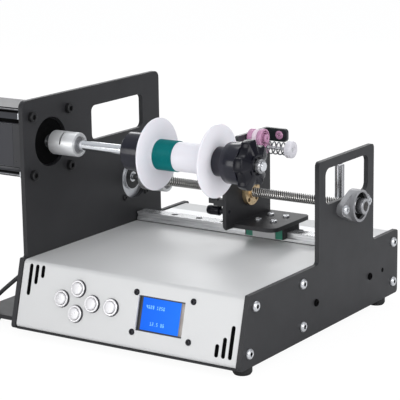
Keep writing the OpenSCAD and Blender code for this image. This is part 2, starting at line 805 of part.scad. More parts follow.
module rubber_foot(x, y) {
    taper = foot_r / 6;
    translate([x, y, -foot_h]) rotate_extrude()
        polygon([[0, 0], [foot_r - taper, 0], [foot_r, foot_h / 3], [foot_r, foot_h], [0, foot_h]]);
}

module rubber_feet() color([0.08, 0.08, 0.08]) {
    for (y = [foot_front_gap, base_d - foot_rear_gap]) {
        rubber_foot(inner_w - foot_side_gap, y);
        rubber_foot(-plate_t - outrigger_w + 1.4 * foot_r, y == foot_front_gap ? y + foot_r : y - foot_r);
    }
}

// Button-head screw along X, its head from x = 0
module button_head(r, head_r, head_h, len) {
    socket_r = 0.45 * head_r;
    rotate([0, 90, 0]) rotate_extrude() polygon([
        [0, -len], [r, -len], [r, 0], [head_r, 0], [head_r, head_h / 4], [0.85 * head_r, 0.7 * head_h],
        [0.55 * head_r, head_h], [socket_r, head_h], [socket_r, head_h / 2], [0, head_h / 2]]);
}

module side_screws() color([0.75, 0.76, 0.78]) {
    long = plate_t + 2 * sheet_t;
    side_screw_places() {
        translate([inner_w + plate_t, 0, 0]) button_head(side_screw_r, side_head_r, side_head_h, long);
        translate([-plate_t, 0, 0]) mirror([1, 0, 0]) button_head(side_screw_r, side_head_r, side_head_h,
            long);
    }
}

module guide_post() color([0.8, 0.81, 0.83]) {
    chamfer = guide_post_r / 5;
    translate([guide_post_x, guide_post_y, cover_top]) rotate_extrude() polygon([
        [0, -deck_t], [guide_post_r / 2 - seat, -deck_t], [guide_post_r / 2 - seat, 0], [guide_post_r, 0],
        [guide_post_r, guide_post_h - chamfer], [guide_post_r - chamfer, guide_post_h], [0, guide_post_h]]);
}

// Outline of a square motor with cut-back corners
function motor_outline(w, flat_w, y, z) = let (h = w / 2, f = flat_w / 2, step = 0.42 * (h - f))
    [for (q = [0 : 3]) each [for (p = [[f, h], [f, h - step], [h - step, f], [h, f]])
        [y + p.x * cos(-90 * q) - p.y * sin(-90 * q), z + p.x * sin(-90 * q) + p.y * cos(-90 * q), 0]]];

main_flange_t = 4.8;
main_bell_len = 12;
main_stack_x = -plate_t - main_bell_len;
main_stack_len = main_motor_len - 2 * main_bell_len;

module main_motor_stack() color([0.2, 0.2, 0.21]) difference() {
    yz_sheet(main_stack_x - main_stack_len, main_stack_len, motor_outline(main_motor_w, main_flat,
        spindle_y, spindle_z));
    x_rod(main_stack_x - main_stack_len - cut, main_stack_len + 2 * cut, main_shaft_r + bearing_clear,
        spindle_y, spindle_z);
}

module main_motor_bells() color([0.1, 0.1, 0.11]) difference() {
    half = main_motor_w / 2;
    union() {
        yz_sheet(main_stack_x, main_bell_len - main_flange_t,
            motor_outline(main_motor_w, main_flat, spindle_y, spindle_z));
        yz_sheet(-plate_t - main_flange_t, main_flange_t, frame(
            spindle_y - half, spindle_z - half, spindle_y + half, spindle_z + half, foot_corner_r));
        x_rod(-plate_t, main_pilot_h, main_pilot_r, spindle_y, spindle_z);
        yz_sheet(main_stack_x - main_stack_len - main_bell_len, main_bell_len,
            motor_outline(main_motor_w, main_flat, spindle_y, spindle_z));
    }
    x_rod(-plate_t - main_motor_len + main_flange_t, main_motor_len + main_pilot_h,
        main_shaft_r + bearing_clear,
        spindle_y, spindle_z);
    square_places(spindle_y, spindle_z, main_bolt)
        x_rod(-plate_t - main_flange_t - cut, main_flange_t + 2 * cut, main_screw_r + screw_clear, 0, 0);
}

small_bell_len = 8;
small_flat = 32;
small_stack_len = small_motor_len - 2 * small_bell_len;

module traverse_motor_stack() color([0.14, 0.14, 0.15]) difference() {
    yz_sheet(-plate_t - small_bell_len - small_stack_len, small_stack_len,
        motor_outline(small_motor_w, small_flat, lead_y, lead_z));
    x_rod(-plate_t - small_bell_len - small_stack_len - cut, small_stack_len + 2 * cut,
        small_shaft_r + bearing_clear, lead_y, lead_z);
}

module traverse_motor_bells() color([0.72, 0.73, 0.75]) difference() {
    union() {
        for (x = [-plate_t - small_bell_len, -plate_t - small_motor_len])
            yz_sheet(x, small_bell_len, motor_outline(small_motor_w, small_flat, lead_y, lead_z));
        x_rod(-plate_t, small_pilot_h, small_pilot_r, lead_y, lead_z);
    }
    x_rod(-plate_t - small_motor_len + small_bell_len / 2, small_motor_len + small_pilot_h,
        small_shaft_r + bearing_clear, lead_y, lead_z);
    square_places(lead_y, lead_z, small_bolt)
        x_rod(-plate_t - small_bell_len - cut, small_bell_len + 2 * cut, small_screw_r + screw_clear, 0, 0);
}

module socket_head(r, head_r, head_h, len) {
    difference() {
        union() {
            x_rod(0, head_h, head_r, 0, 0);
            x_rod(-len, len, r, 0, 0);
        }
        x_rod(head_h / 2, head_h, head_r / 2, 0, 0);
    }
}

module motor_screws() color([0.1, 0.1, 0.1]) {
    nut_h = main_screw_r;
    square_places(spindle_y, spindle_z, main_bolt) {
        socket_head(main_screw_r, 1.7 * main_screw_r, 1.5 * main_screw_r, plate_t + main_flange_t);
        x_rod(-plate_t - main_flange_t - nut_h, nut_h, 1.7 * main_screw_r, 0, 0);
    }
    square_places(lead_y, lead_z, small_bolt)
        socket_head(small_screw_r, 1.8 * small_screw_r, small_screw_r, plate_t + small_bell_len / 2);
}

ear_r = 5.4;

// Oval base of the flange bearing: a disc and two ears
module bearing_outline() {
    half = bearing_bolt / 2;
    a = acos((bearing_boss_r - ear_r) / half);
    big = bearing_boss_r * [cos(a), sin(a)];
    small = [half + ear_r * cos(a), ear_r * sin(a)];
    circle(r = bearing_boss_r);
    for (s = [-1, 1]) translate([s * half, 0]) circle(r = ear_r);
    polygon([big, small, [small.x, -small.y], [big.x, -big.y],
        [-big.x, -big.y], [-small.x, -small.y], [-small.x, small.y], [-big.x, big.y]]);
}

module flange_bearing() color([0.7, 0.71, 0.73]) {
    hollow = bearing_boss_r - 2;
    translate([inner_w + plate_t, lead_y, lead_z]) rotate([90, 0, 90]) difference() {
        union() {
            linear_extrude(bearing_base_t) bearing_outline();
            cylinder(h = bearing_boss_h, r = bearing_boss_r);
        }
        translate([0, 0, -cut]) cylinder(h = bearing_h + 2 * cut, r = bearing_insert_r + bearing_clear);
        translate([0, 0, 0.7 * bearing_boss_h]) cylinder(h = bearing_h, r = hollow);
        for (s = [-1, 1]) translate([s * bearing_bolt / 2, 0, -cut])
            cylinder(h = bearing_base_t + 2 * cut, r = bearing_screw_r);
    }
}

module bearing_bolts() color([0.75, 0.76, 0.78]) {
    for (s = [-1, 1]) translate([inner_w + plate_t + bearing_base_t, lead_y + s * bearing_bolt / 2, lead_z])
        button_head(bearing_screw_r - screw_clear, 0.75 * ear_r, 0.5 * ear_r, bearing_base_t + plate_t);
}

rail_hole_count = floor((inner_w - rail_end_gap - rail_first_hole - rail_w / 2) / rail_pitch) + 1;

module guide_rail() color([0.78, 0.79, 0.8]) difference() {
    waist = rail_w / 10;
    translate([rail_end_gap, 0, 0]) rotate([90, 0, 90]) linear_extrude(inner_w - 2 * rail_end_gap) polygon([
        for (p = [[-0.5, 0], [0.5, 0], [0.5, 0.35], [0.5 - 0.1, 0.5], [0.5 - 0.1, 0.65], [0.5, 0.8],
            [0.5, 1],
            [-0.5, 1], [-0.5, 0.8], [-0.5 + 0.1, 0.65], [-0.5 + 0.1, 0.5], [-0.5, 0.35]])
            [rail_y + p.x * rail_w, cover_top + p.y * rail_h]]);
    for (i = [0 : rail_hole_count - 1]) {
        x = rail_first_hole + i * rail_pitch;
        z_rod(x, rail_y, cover_top - cut, rail_h + 2 * cut, 1.4 * waist);
        z_rod(x, rail_y, rail_top - 0.55 * rail_h, rail_h, 2.5 * waist);
    }
}

module button_bezels() color([0.78, 0.79, 0.8]) on_panel() for (p = button_places) {
    bore = cap_r + cap_clear;
    floor_w = 3 * bezel_h;
    translate([p.x, p.y, -cover_recess]) rotate_extrude() polygon([
        [bore, -floor_w], [bore, bezel_h], [bezel_r - bezel_h / 2, bezel_h], [bezel_r, bezel_h / 2],
        [bezel_r, 0],
        [barrel_r, 0], [barrel_r, -barrel_len], [0, -barrel_len], [0, -floor_w]]);
}

module button_cap(p) color([0.82, 0.83, 0.84]) on_panel()
    translate([p.x, p.y, bezel_h - cover_recess]) rotate_extrude() polygon([
        [0, -bezel_h - 2 * cap_out], [cap_r, -bezel_h - 2 * cap_out], [cap_r, 0.7 * cap_out],
        [0.85 * cap_r, 0.95 * cap_out], [0, cap_out]]);

module button_top() button_cap(button_places[0]);
module button_left() button_cap(button_places[1]);
module button_right() button_cap(button_places[2]);
module button_bottom() button_cap(button_places[3]);
module button_far() button_cap(button_places[4]);

module display_frame() color([0.07, 0.07, 0.08]) {
    back = cover_recess + sheet_t;
    rim = display_margin / 8;
    on_panel() translate([display_x, display_v, 0]) difference() {
        translate([0, 0, -back - display_d / 2])
            cube([display_w + 2 * display_margin, display_h + display_margin, display_d], center = true);
        translate([0, 0, -back + rim])
            cube([display_w - 2 * rim, display_h - 2 * rim, 4 * rim], center = true);
    }
}

module display_glass() color([0.05, 0.32, 0.85]) {
    back = cover_recess + sheet_t;
    rim = display_margin / 8;
    on_panel() translate([display_x, display_v, -back])
        cube([display_w - 2 * rim - 2 * seat, display_h - 2 * rim - 2 * seat, 2 * rim - 2 * seat],
            center = true);
}

driver_w = 34;
driver_d = 70;
driver_h = 24;
driver_x = 26;
driver_gap = 6;
driver_pitch = driver_w + driver_gap;
driver_front = cable_route[len(cable_route) - 1].y + 2 * seat;
board_gap = 4;
board_side_gap = 20;
board_x = driver_x + driver_pitch + driver_w + board_gap;
board_w = inner_w - board_side_gap - board_x;
board_front = 50.4;
board_d = 62;
board_t = 1.6;
board_lift = 6;

// Board on four posts with its parts
module control_board() color([0.05, 0.3, 0.15]) translate([board_x, board_front, sheet_t]) {
    post = board_t * 2;
    translate([0, 0, board_lift]) cube([board_w, board_d, board_t]);
    for (x = [post, board_w - post], y = [post, board_d - post]) z_rod(x, y, 0, board_lift, post / 2);
    translate([board_w / 3, board_d / 3, board_lift + board_t]) cube([board_w / 5, board_w / 5, board_t]);
    for (x = [board_w / 8, 0.7 * board_w])
        translate([x, 0.8 * board_d, board_lift + board_t]) cube([board_w / 5, board_d / 8, 5 * board_t]);
    for (i = [0 : 3]) z_rod(0.65 * board_w + i * 4 * board_t, board_d / 4, board_lift + board_t,
        6 * board_t, 1.5 * board_t);
}

// Two finned stepper drivers on the bottom plate
module motor_drivers() color([0.12, 0.12, 0.13]) for (i = [0, 1]) {
    fin = driver_w / 11;
    translate([driver_x + i * driver_pitch, driver_front, sheet_t]) difference() {
        cube([driver_w, driver_d, driver_h]);
        for (k = [0 : 4])
            translate([(2 * k + 1) * fin, -cut, 0.7 * driver_h]) cube([fin, driver_d + 2 * cut, driver_h]);
    }
}

inlet_flange_r = 8;
inlet_pin_r = 1;

// Round socket for the power plug, with its centre pin
module power_inlet() color([0.08, 0.08, 0.08]) translate([inlet_x, rear_face, rear_row_z]) rotate([-90,
    0, 0])
    rotate_extrude() polygon([
        [0, -2 * inlet_hole_r], [inlet_hole_r - seat, -2 * inlet_hole_r], [inlet_hole_r - seat, 0],
        [inlet_flange_r, 0], [inlet_flange_r, inlet_pin_r], [inlet_hole_r, 2 * inlet_pin_r],
        [3 * inlet_pin_r, 2 * inlet_pin_r], [3 * inlet_pin_r, -1.5 * inlet_hole_r],
        [inlet_pin_r, -1.5 * inlet_hole_r], [inlet_pin_r, 0], [0, inlet_pin_r]]);

rocker_tilt = 8;

// Rocker of the power switch
module power_switch() color([0.1, 0.1, 0.1]) {
    gap = 2 * seam;
    mid = [switch_x, rear_face, rear_row_z];
    translate(mid) intersection() {
        rotate([rocker_tilt, 0, 0]) translate([-switch_w / 2 + gap, -switch_w, -switch_h / 2 + 2 * gap])
            cube([switch_w - 2 * gap, switch_w + 3 * seam + gap, switch_h - 4 * gap]);
        rotate([0, 90, 0]) cylinder(h = switch_w, r = switch_h / 2 - gap, center = true);
    }
}

gland_r = 3.4;

// Grommet in the left plate and cable outlet below the spindle motor
module cable_glands() color([0.06, 0.06, 0.06]) {
    lip = grommet_lip;
    bore = cable_d / 2 + 2 * seam;
    outlet = cable_route[0];
    x_turned(-plate_t, grommet_y, grommet_z, [
        [bore, -lip], [grommet_r + lip, -lip], [grommet_r + lip, 0], [grommet_r - seat, 0],
        [grommet_r - seat, plate_t], [grommet_r + lip, plate_t], [grommet_r + lip, plate_t + lip],
        [bore, plate_t + lip]]);
    translate(outlet) cylinder(h = spindle_z - main_motor_w / 2 - outlet.z, r = gland_r);
}

module motor_cable() color([0.12, 0.12, 0.13]) tube(smooth(cable_route, 2), cable_d, 8, [0, 1, 0]);

shaft_meet = coupling_gap + coupling_len / 2;

module motor_shaft() color([0.75, 0.76, 0.78])
    x_rod(-plate_t - main_motor_len + main_flange_t + seam,
        main_motor_len + plate_t - main_flange_t + shaft_meet - 2 * seam,
        main_shaft_r, spindle_y, spindle_z);

module spindle_coupling() color([0.8, 0.81, 0.82]) difference() {
    chamfer = coupling_r / 12;
    x_turned(coupling_gap, spindle_y, spindle_z, [
        [main_shaft_r + seat, 0], [coupling_r - chamfer, 0], [coupling_r, chamfer], [coupling_r,
        coupling_len - chamfer],
        [coupling_r - chamfer, coupling_len], [spindle_r + seat, coupling_len], [spindle_r + seat,
        coupling_len / 2],
        [main_shaft_r + seat, coupling_len / 2]]);
    translate([coupling_gap + 0.42 * coupling_len, spindle_y - coupling_r, spindle_z + 0.4 * coupling_r])
        cube([coupling_slit, 2 * coupling_r, coupling_r]);
    for (x = [0.2, 0.8]) translate([coupling_gap + x * coupling_len, spindle_y, spindle_z])
        rotate([90, 0, 0]) cylinder(h = coupling_r + cut, r = spindle_r / 3);
}

module spindle_shaft() color([0.82, 0.83, 0.84]) {
    chamfer = spindle_r / 6;
    x_turned(shaft_meet, spindle_y, spindle_z, [
        [0, 0], [spindle_r, 0], [spindle_r, spindle_stop - shaft_meet - chamfer],
        [spindle_r - chamfer, spindle_stop - shaft_meet], [0, spindle_stop - shaft_meet]]);
}

module left_hub() color([0.1, 0.1, 0.11]) {
    chamfer = left_hub_r / 14;
    x_turned(hub_x, spindle_y, spindle_z, [
        [spindle_r + seat, 0], [left_hub_r - chamfer, 0], [left_hub_r, chamfer], [left_hub_r,
        left_hub_len - chamfer],
        [left_hub_r - chamfer, left_hub_len], [hub_nose_r, left_hub_len], [0.75 * hub_nose_r,
        left_hub_len + hub_nose_len],
        [spindle_r + seat, left_hub_len + hub_nose_len]]);
}

bobbin_bore_r = hub_nose_r + bobbin_clear;

module bobbin() color([0.95, 0.95, 0.94]) {
    rim = bobbin_flange_t / 3;
    x_turned(bobbin_x, spindle_y, spindle_z, [
        [bobbin_bore_r, 0], [bobbin_flange_r - rim, 0], [bobbin_flange_r, rim], [bobbin_flange_r,
        bobbin_flange_t - rim],
        [bobbin_flange_r - rim, bobbin_flange_t], [bobbin_core_r, bobbin_flange_t],
        [bobbin_core_r, bobbin_len - bobbin_flange_t], [bobbin_flange_r - rim,
        bobbin_len - bobbin_flange_t],
        [bobbin_flange_r, bobbin_len - bobbin_flange_t + rim], [bobbin_flange_r, bobbin_len - rim],
        [bobbin_flange_r - rim, bobbin_len], [bobbin_bore_r, bobbin_len]]);
}

bed_r = bobbin_core_r + winding_bed;
winding_r = (bed_r + seat) / cos(180 / 24) + thread_d / 2;
winding_path = turns_path(winding_x + thread_d, spindle_y, spindle_z, winding_r,
    winding_w - 2 * thread_d, winding_turns, 24, thread_d);

// Plain bed of inner layers and one outer layer of separate turns
module winding() color([0.02, 0.5, 0.5]) {
    x_turned(winding_x, spindle_y, spindle_z, [
        [bobbin_core_r + seat, 0], [bed_r, 0], [bed_r, winding_w], [bobbin_core_r + seat, winding_w]]);
    tube(winding_path, thread_d, 6, [1, 0, 0]);
    echo(str("winding least gap ", least_gap(winding_path, 24, thread_d)));
}

module right_hub() color([0.1, 0.1, 0.11]) {
    chamfer = right_hub_r / 14;
    whole = hub_neck_len + right_hub_len;
    x_turned(right_hub_x, spindle_y, spindle_z, [
        [spindle_r + seat, -hub_nose_len], [0.75 * hub_nose_r, -hub_nose_len], [hub_nose_r, 0],
        [hub_neck_r, 0],
        [hub_neck_r, hub_neck_len], [right_hub_r - chamfer, hub_neck_len], [right_hub_r,
        hub_neck_len + chamfer],
        [right_hub_r, whole - chamfer], [right_hub_r - chamfer, whole], [spindle_r + seat, whole]]);
}

star_bore_r = spindle_r + lead_clear;

// Domed disc with lobes left between round hollows
module star_knob() color([0.09, 0.09, 0.1]) difference() {
    edge = star_rim_t / 6;
    waist = 0.45 * star_r;
    x_turned(star_x, spindle_y, spindle_z, [
        [star_bore_r, 0], [star_r - edge, 0], [star_r, edge], [star_r, star_rim_t - edge],
        [star_r - 0.7 * edge, star_rim_t - 0.2 * edge], [waist, star_t], [star_bore_r, star_t]]);
    for (i = [0 : star_lobes - 1]) {
        a = 90 + 360 * (i + 0.5) / star_lobes;
        d = star_r - star_hollow_depth + star_hollow_r;
        x_rod(star_x - cut, star_t + 2 * cut, star_hollow_r, spindle_y + d * cos(a),
            spindle_z + d * sin(a));
    }
}

module lock_nut() color([0.78, 0.79, 0.8]) difference() {
    translate([lock_nut_x, spindle_y, spindle_z]) rotate([0, 90, 0]) cylinder(h = lock_nut_h,
        r = lock_nut_w / sqrt(3), $fn = 6);
    x_rod(lock_nut_x - cut, lock_nut_h + 2 * cut, spindle_r + seat, spindle_y, spindle_z);
}

lead_meet = lead_coupling_gap + lead_coupling_len / 2;

module traverse_shaft() color([0.75, 0.76, 0.78])
    x_rod(-plate_t - small_motor_len + small_bell_len / 2 + seam,
        small_motor_len + plate_t - small_bell_len / 2 + lead_meet - 2 * seam, small_shaft_r, lead_y,
            lead_z);

module lead_coupling() color([0.62, 0.63, 0.65]) difference() {
    chamfer = lead_coupling_r / 12;
    x_turned(lead_coupling_gap, lead_y, lead_z, [
        [small_shaft_r + seat, 0], [lead_coupling_r - chamfer, 0], [lead_coupling_r, chamfer],
        [lead_coupling_r, lead_coupling_len - chamfer], [lead_coupling_r - chamfer, lead_coupling_len],
        [lead_r + seat, lead_coupling_len], [lead_r + seat, lead_coupling_len / 2],
        [small_shaft_r + seat, lead_coupling_len / 2]]);
    for (i = [0 : 2]) translate([lead_coupling_gap + (0.35 + 0.12 * i) * lead_coupling_len,
        lead_y - lead_coupling_r, lead_z - (i == 1 ? 1.4 : -0.4) * lead_coupling_r])
        cube([coupling_slit, 2 * lead_coupling_r, lead_coupling_r]);
}

lead_stop = inner_w + plate_t + bearing_h - seam;

module lead_screw() color([0.62, 0.62, 0.63]) {
    chamfer = lead_r / 6;
    x_turned(lead_meet, lead_y, lead_z, [
        [0, 0], [lead_r, 0], [lead_r, lead_stop - lead_meet - chamfer], [lead_r - chamfer,
        lead_stop - lead_meet],
        [0, lead_stop - lead_meet]]);
}

module bearing_insert() color([0.72, 0.73, 0.75]) difference() {
    x_rod(inner_w + plate_t + seam, bearing_h - seam, bearing_insert_r, lead_y, lead_z);
    x_rod(inner_w + plate_t + seam - cut, bearing_h + 2 * cut, lead_r + seat, lead_y, lead_z);
    translate([inner_w + plate_t + 0.85 * bearing_h, lead_y, lead_z]) rotate([30, 0, 0])
        cylinder(h = 2 * bearing_insert_r, r = lead_r / 3);
}

// Places of the four screws on top of the rail block
module block_screw_places() {
    for (sx = [-1, 1], sy = [-1, 1])
        translate([carriage_x + sx * block_bolt_x / 2, rail_y + sy * block_bolt_y / 2, bracket_foot_z])
            children();
}

// Upright and foot of the bracket, folded from one plate
module carriage_bracket() color([0.15, 0.15, 0.16]) difference() {
    left = upright_x - bracket_t;
    right = bracket_x + bracket_foot_w;
    intersection() {
        union() {
            yz_sheet(left, bracket_t, [
                [bracket_front, bracket_foot_z, 0], [bracket_rear, bracket_foot_z, 0],
                [bracket_rear, bracket_top, bracket_corner_r / 2], [bracket_front, bracket_top,
                bracket_corner_r]]);
            xy_sheet(bracket_foot_z, bracket_t, [
                [left, bracket_front + bracket_step, 0], [right, bracket_front + bracket_step,
                bracket_corner_r],
                [right, bracket_rear, 0.6 * bracket_corner_r], [left, bracket_rear, 0]]);
        }
        translate([0, bracket_front - cut, 0]) rotate([90, 0, 0]) mirror([0, 0, 1])
            linear_extrude(bracket_rear - bracket_front + 2 * cut) polygon(rounded([
                [left, bracket_foot_z, bracket_t], [right + cut, bracket_foot_z, 0],
                [right + cut, bracket_top + cut, 0], [left, bracket_top + cut, 0]]));
    }
    x_rod(left - cut, bracket_t + 2 * cut, nut_body_r + screw_clear, lead_y, lead_z);
    block_screw_places() z_rod(0, 0, -cut, bracket_t + 2 * cut, block_screw_r + screw_clear);
    x_rod(left - cut, bracket_t + 2 * cut, tension_r + seat, clamp_y, clamp_z);
}

block_screw_r = 1.5;
clamp_edge = 5;
clamp_lift = 14.5;
clamp_y = bracket_front + clamp_edge;
clamp_z = bracket_foot_z + clamp_lift;

module lead_nut() color([0.8, 0.62, 0.3]) difference() {
    union() {
        x_rod(upright_x, nut_flange_t, nut_flange_r, lead_y, lead_z);
        x_rod(upright_x - nut_body_len, nut_body_len + nut_flange_t / 2, nut_body_r, lead_y, lead_z);
        x_rod(upright_x, 1.4 * nut_flange_t, nut_body_r, lead_y, lead_z);
    }
    x_rod(upright_x - nut_body_len - cut, nut_body_len + 2 * nut_flange_t + 2 * cut, lead_r + lead_clear,
        lead_y, lead_z);
    for (a = [0 : 90 : 270])
        x_rod(upright_x - cut, nut_flange_t + 2 * cut, nut_flange_r / 6,
            lead_y + 0.73 * nut_flange_r * cos(a + 45), lead_z + 0.73 * nut_flange_r * sin(a + 45));
}

// Cross-section of the rail block over the length x to x + len
module block_section(x, len, w) {
    inner = rail_w / 2 + block_clear;
    low = cover_top + block_lift;
    edge = w / 18;
    translate([x, 0, 0]) rotate([90, 0, 90]) linear_extrude(len) polygon([
        [rail_y - w / 2, low], [rail_y - inner, low], [rail_y - inner, rail_top + block_clear],
        [rail_y + inner, rail_top + block_clear], [rail_y + inner, low], [rail_y + w / 2, low],
        [rail_y + w / 2, bracket_foot_z - edge], [rail_y + w / 2 - edge, bracket_foot_z],
        [rail_y - w / 2 + edge, bracket_foot_z], [rail_y - w / 2, bracket_foot_z - edge]]);
}

module guide_block() color([0.5, 0.51, 0.52]) difference() {
    block_section(carriage_x - block_len / 2 + block_cap_len, block_len - 2 * block_cap_len, block_w);
    block_screw_places() z_rod(0, 0, -3 * block_screw_r, 4 * block_screw_r, block_screw_r + seat);
}

module block_caps() color([0.1, 0.45, 0.32]) difference() {
    inset = block_w / 30;
    for (x = [carriage_x - block_len / 2, carriage_x + block_len / 2 - block_cap_len])
        block_section(x, block_cap_len, block_w - inset);
    translate([carriage_x - block_len, rail_y - block_w, bracket_foot_z - seam])
        cube([2 * block_len, 2 * block_w, block_w]);
}

module bracket_screws() color([0.8, 0.81, 0.83])
    block_screw_places() translate([0, 0, bracket_t]) rotate([0, -90, 0])
        socket_head(block_screw_r, 1.9 * block_screw_r, 1.1 * block_screw_r, bracket_t + 2.5 * block_screw_r);

arm_foot_z = bracket_top - arm_lap;

// Angle plate: a leg along the bracket's upright and a flange across its rear end
module tensioner_arm() color([0.1, 0.11, 0.11]) {
    flange_low = arm_top - arm_flange_h;
    difference() {
        union() {
            yz_sheet(arm_x, arm_t, [
                [arm_front, arm_top, arm_corner_r / 2],
                [arm_front + arm_nose_h / 2, arm_top - arm_nose_h, arm_corner_r / 2],
                [arm_front + 0.8 * arm_nose_len, arm_top - 1.2 * arm_nose_h, arm_corner_r],
                [arm_front + arm_nose_len, arm_foot_z, arm_corner_r],
                [arm_rear - 2 * arm_corner_r, arm_foot_z, arm_corner_r],
                [arm_rear, flange_low - arm_corner_r, arm_corner_r],
                [arm_rear, arm_top, 0]]);
            xz_sheet(arm_rear - arm_t, arm_t, [
                [arm_x, flange_low, 0], [arm_x + arm_reach, flange_low, arm_corner_r],
                [arm_x + arm_reach, arm_top, arm_corner_r], [arm_x, arm_top, 0]]);
            x_rod(arm_x + arm_t / 2, pulley_x - arm_x + pulley_w - arm_t / 2, pulley_axle_r, pulley_y,
                pulley_z);
            x_rod(pulley_x + pulley_w + block_clear, arm_t / 2, 1.6 * pulley_axle_r, pulley_y, pulley_z);
            x_rod(pulley_x + pulley_w / 2, pulley_w / 2 + block_clear + arm_t / 4, pulley_axle_r,
                pulley_y, pulley_z);
        }
        x_rod(arm_x - cut, arm_t + 2 * cut, tension_r + seat, tension_y, tension_z);
        translate([eyelet_x, arm_rear - arm_t - cut, eyelet_z]) rotate([-90, 0, 0])
            cylinder(h = arm_t + 2 * cut, r = eyelet_r - eyelet_lip + seat);
    }
}

eyelet_x = arm_x + 0.66 * arm_reach;
eyelet_z = arm_top - arm_flange_h / 2;
eyelet_lip = 0.8;

module guide_eyelet() color([0.86, 0.55, 0.68]) {
    stem = eyelet_r - eyelet_lip;
    long = arm_t + 2 * eyelet_lip;
    translate([eyelet_x, arm_rear - arm_t - eyelet_lip, eyelet_z]) rotate([-90, 0,
        0]) rotate_extrude() polygon([
        [eyelet_hole_r + eyelet_lip / 2, 0], [eyelet_r - eyelet_lip / 2, 0], [eyelet_r, eyelet_lip / 2],
        [eyelet_r, eyelet_lip], [stem, eyelet_lip], [stem, long], [eyelet_hole_r, long], [eyelet_hole_r,
        eyelet_lip]]);
}

// Roller of two ceramic rings and a felt ring
module guide_pulley() color([0.87, 0.55, 0.7]) {
    third = pulley_w / 3;
    groove = pulley_r / 10;
    x_turned(pulley_x, pulley_y, pulley_z, [
        [pulley_axle_r + lead_clear, 0], [pulley_r - 2 * groove, 0], [pulley_r - groove, groove],
        [pulley_r - groove, third - groove], [pulley_r - 2 * groove, third], [pulley_r - 1.5 * groove,
        third + groove],
        [pulley_r - 1.5 * groove, 2 * third - groove], [pulley_r - 2 * groove, 2 * third], [pulley_r,
        2 * third + groove],
        [pulley_r, pulley_w - groove], [pulley_r - groove, pulley_w], [0.7 * pulley_r, pulley_w],
        [0.6 * pulley_r, pulley_w - groove], [0.45 * pulley_r, pulley_w - groove], [0.4 * pulley_r,
        pulley_w],
        [pulley_axle_r + lead_clear, pulley_w]]);
}

module tension_screw() color([0.75, 0.76, 0.78]) {
    stop = thumb_x + thumb_t - arm_x - thumb_t / 6;
    x_turned(arm_x, tension_y, tension_z, [
        [0, 0], [tension_r, 0], [tension_r, arm_t], [2 * tension_r, arm_t], [2 * tension_r,
        arm_t + disc_gap],
        [tension_r, arm_t + disc_gap], [tension_r, stop], [0, stop]]);
}

module tension_discs() color([0.86, 0.58, 0.7]) {
    bore = tension_r + seat;
    for (i = [0, 1])
        x_turned(disc_x + seat / 2 + i * disc_t, tension_y, tension_z, [
            [bore, 0], [disc_r - disc_t / 2, 0], [disc_r, disc_t / 4], [disc_r, disc_t - seat], [bore,
            disc_t - seat]]);
}

spring_path = turns_path(spring_x + spring_wire_d / 2 + seat, tension_y, tension_z, spring_r,
    spring_len - spring_wire_d - 2 * seat, spring_curls, 8, spring_wire_d);

module tension_spring() color([0.72, 0.73, 0.75]) {
    tube(spring_path, spring_wire_d, 6, [1, 0, 0]);
    echo(str("spring least gap ", least_gap(spring_path, 8, spring_wire_d)));
}

module thumb_nut() color([0.94, 0.94, 0.95]) difference() {
    edge = thumb_t / 5;
    x_turned(thumb_x, tension_y, tension_z, [
        [tension_r + lead_clear, 0], [thumb_r - edge, 0], [thumb_r, edge], [thumb_r, thumb_t - edge],
        [thumb_r - edge, thumb_t], [thumb_r / 2, thumb_t], [thumb_r / 2 - edge / 2, thumb_t - edge / 2],
        [tension_r + lead_clear, thumb_t - edge / 2]]);
    for (a = [0 : 15 : 345])
        x_rod(thumb_x - cut, thumb_t + 2 * cut, thumb_r / 16,
            tension_y + 1.02 * thumb_r * cos(a), tension_z + 1.02 * thumb_r * sin(a));
}

bumper_gap = [9, 9.5];
bumper_x = bracket_x + bracket_foot_w - bumper_gap.x;
bumper_y = bracket_rear - bumper_gap.y;
bumper_r = 3.2;

// Ribbed rubber bumper with a pin that points right
module travel_bumper() color([0.07, 0.07, 0.07]) {
    high = block_top - block_lift - seam;
    rib = high / 9;
    translate([bumper_x, bumper_y, bracket_foot_z - high]) rotate_extrude() polygon(concat([[0, 0]],
        [for (i = [0 : 3]) each [[bumper_r, 2 * i * rib], [bumper_r, (2 * i + 1) * rib],
            [0.75 * bumper_r, (2 * i + 1) * rib], [0.75 * bumper_r, (2 * i + 2) * rib]]],
        [[bumper_r, 8 * rib], [bumper_r, high], [0, high]]));
    x_rod(bumper_x + bumper_r / 2, 1.8 * bumper_r, 0.25 * bumper_r, bumper_y,
        bracket_foot_z - high + 1.2 * rib);
}

wire_block_len = 13.8;
wire_block_edge = 0.5;
wire_block_lift = 19.5;
wire_block_y = bracket_front + wire_block_edge;
wire_block_z = bracket_foot_z + wire_block_lift;
wire_block_w = 6;

// Small notched block on the upright's left face
module wire_block() color([0.07, 0.07, 0.07]) difference() {
    notch = wire_block_w / 4;
    left = upright_x - bracket_t - wire_block_len;
    translate([left, wire_block_y, wire_block_z]) cube([wire_block_len, wire_block_w, wire_block_w]);
    for (x = [wire_block_len / 4, 0.6 * wire_block_len])
        translate([left + x, wire_block_y - cut, wire_block_z + wire_block_w - notch])
            cube([notch, wire_block_w + 2 * cut, notch + cut]);
    translate([left - cut, wire_block_y - cut, wire_block_z - cut])
        cube([wire_block_len / 3 + cut, wire_block_w + 2 * cut, notch + cut]);
}

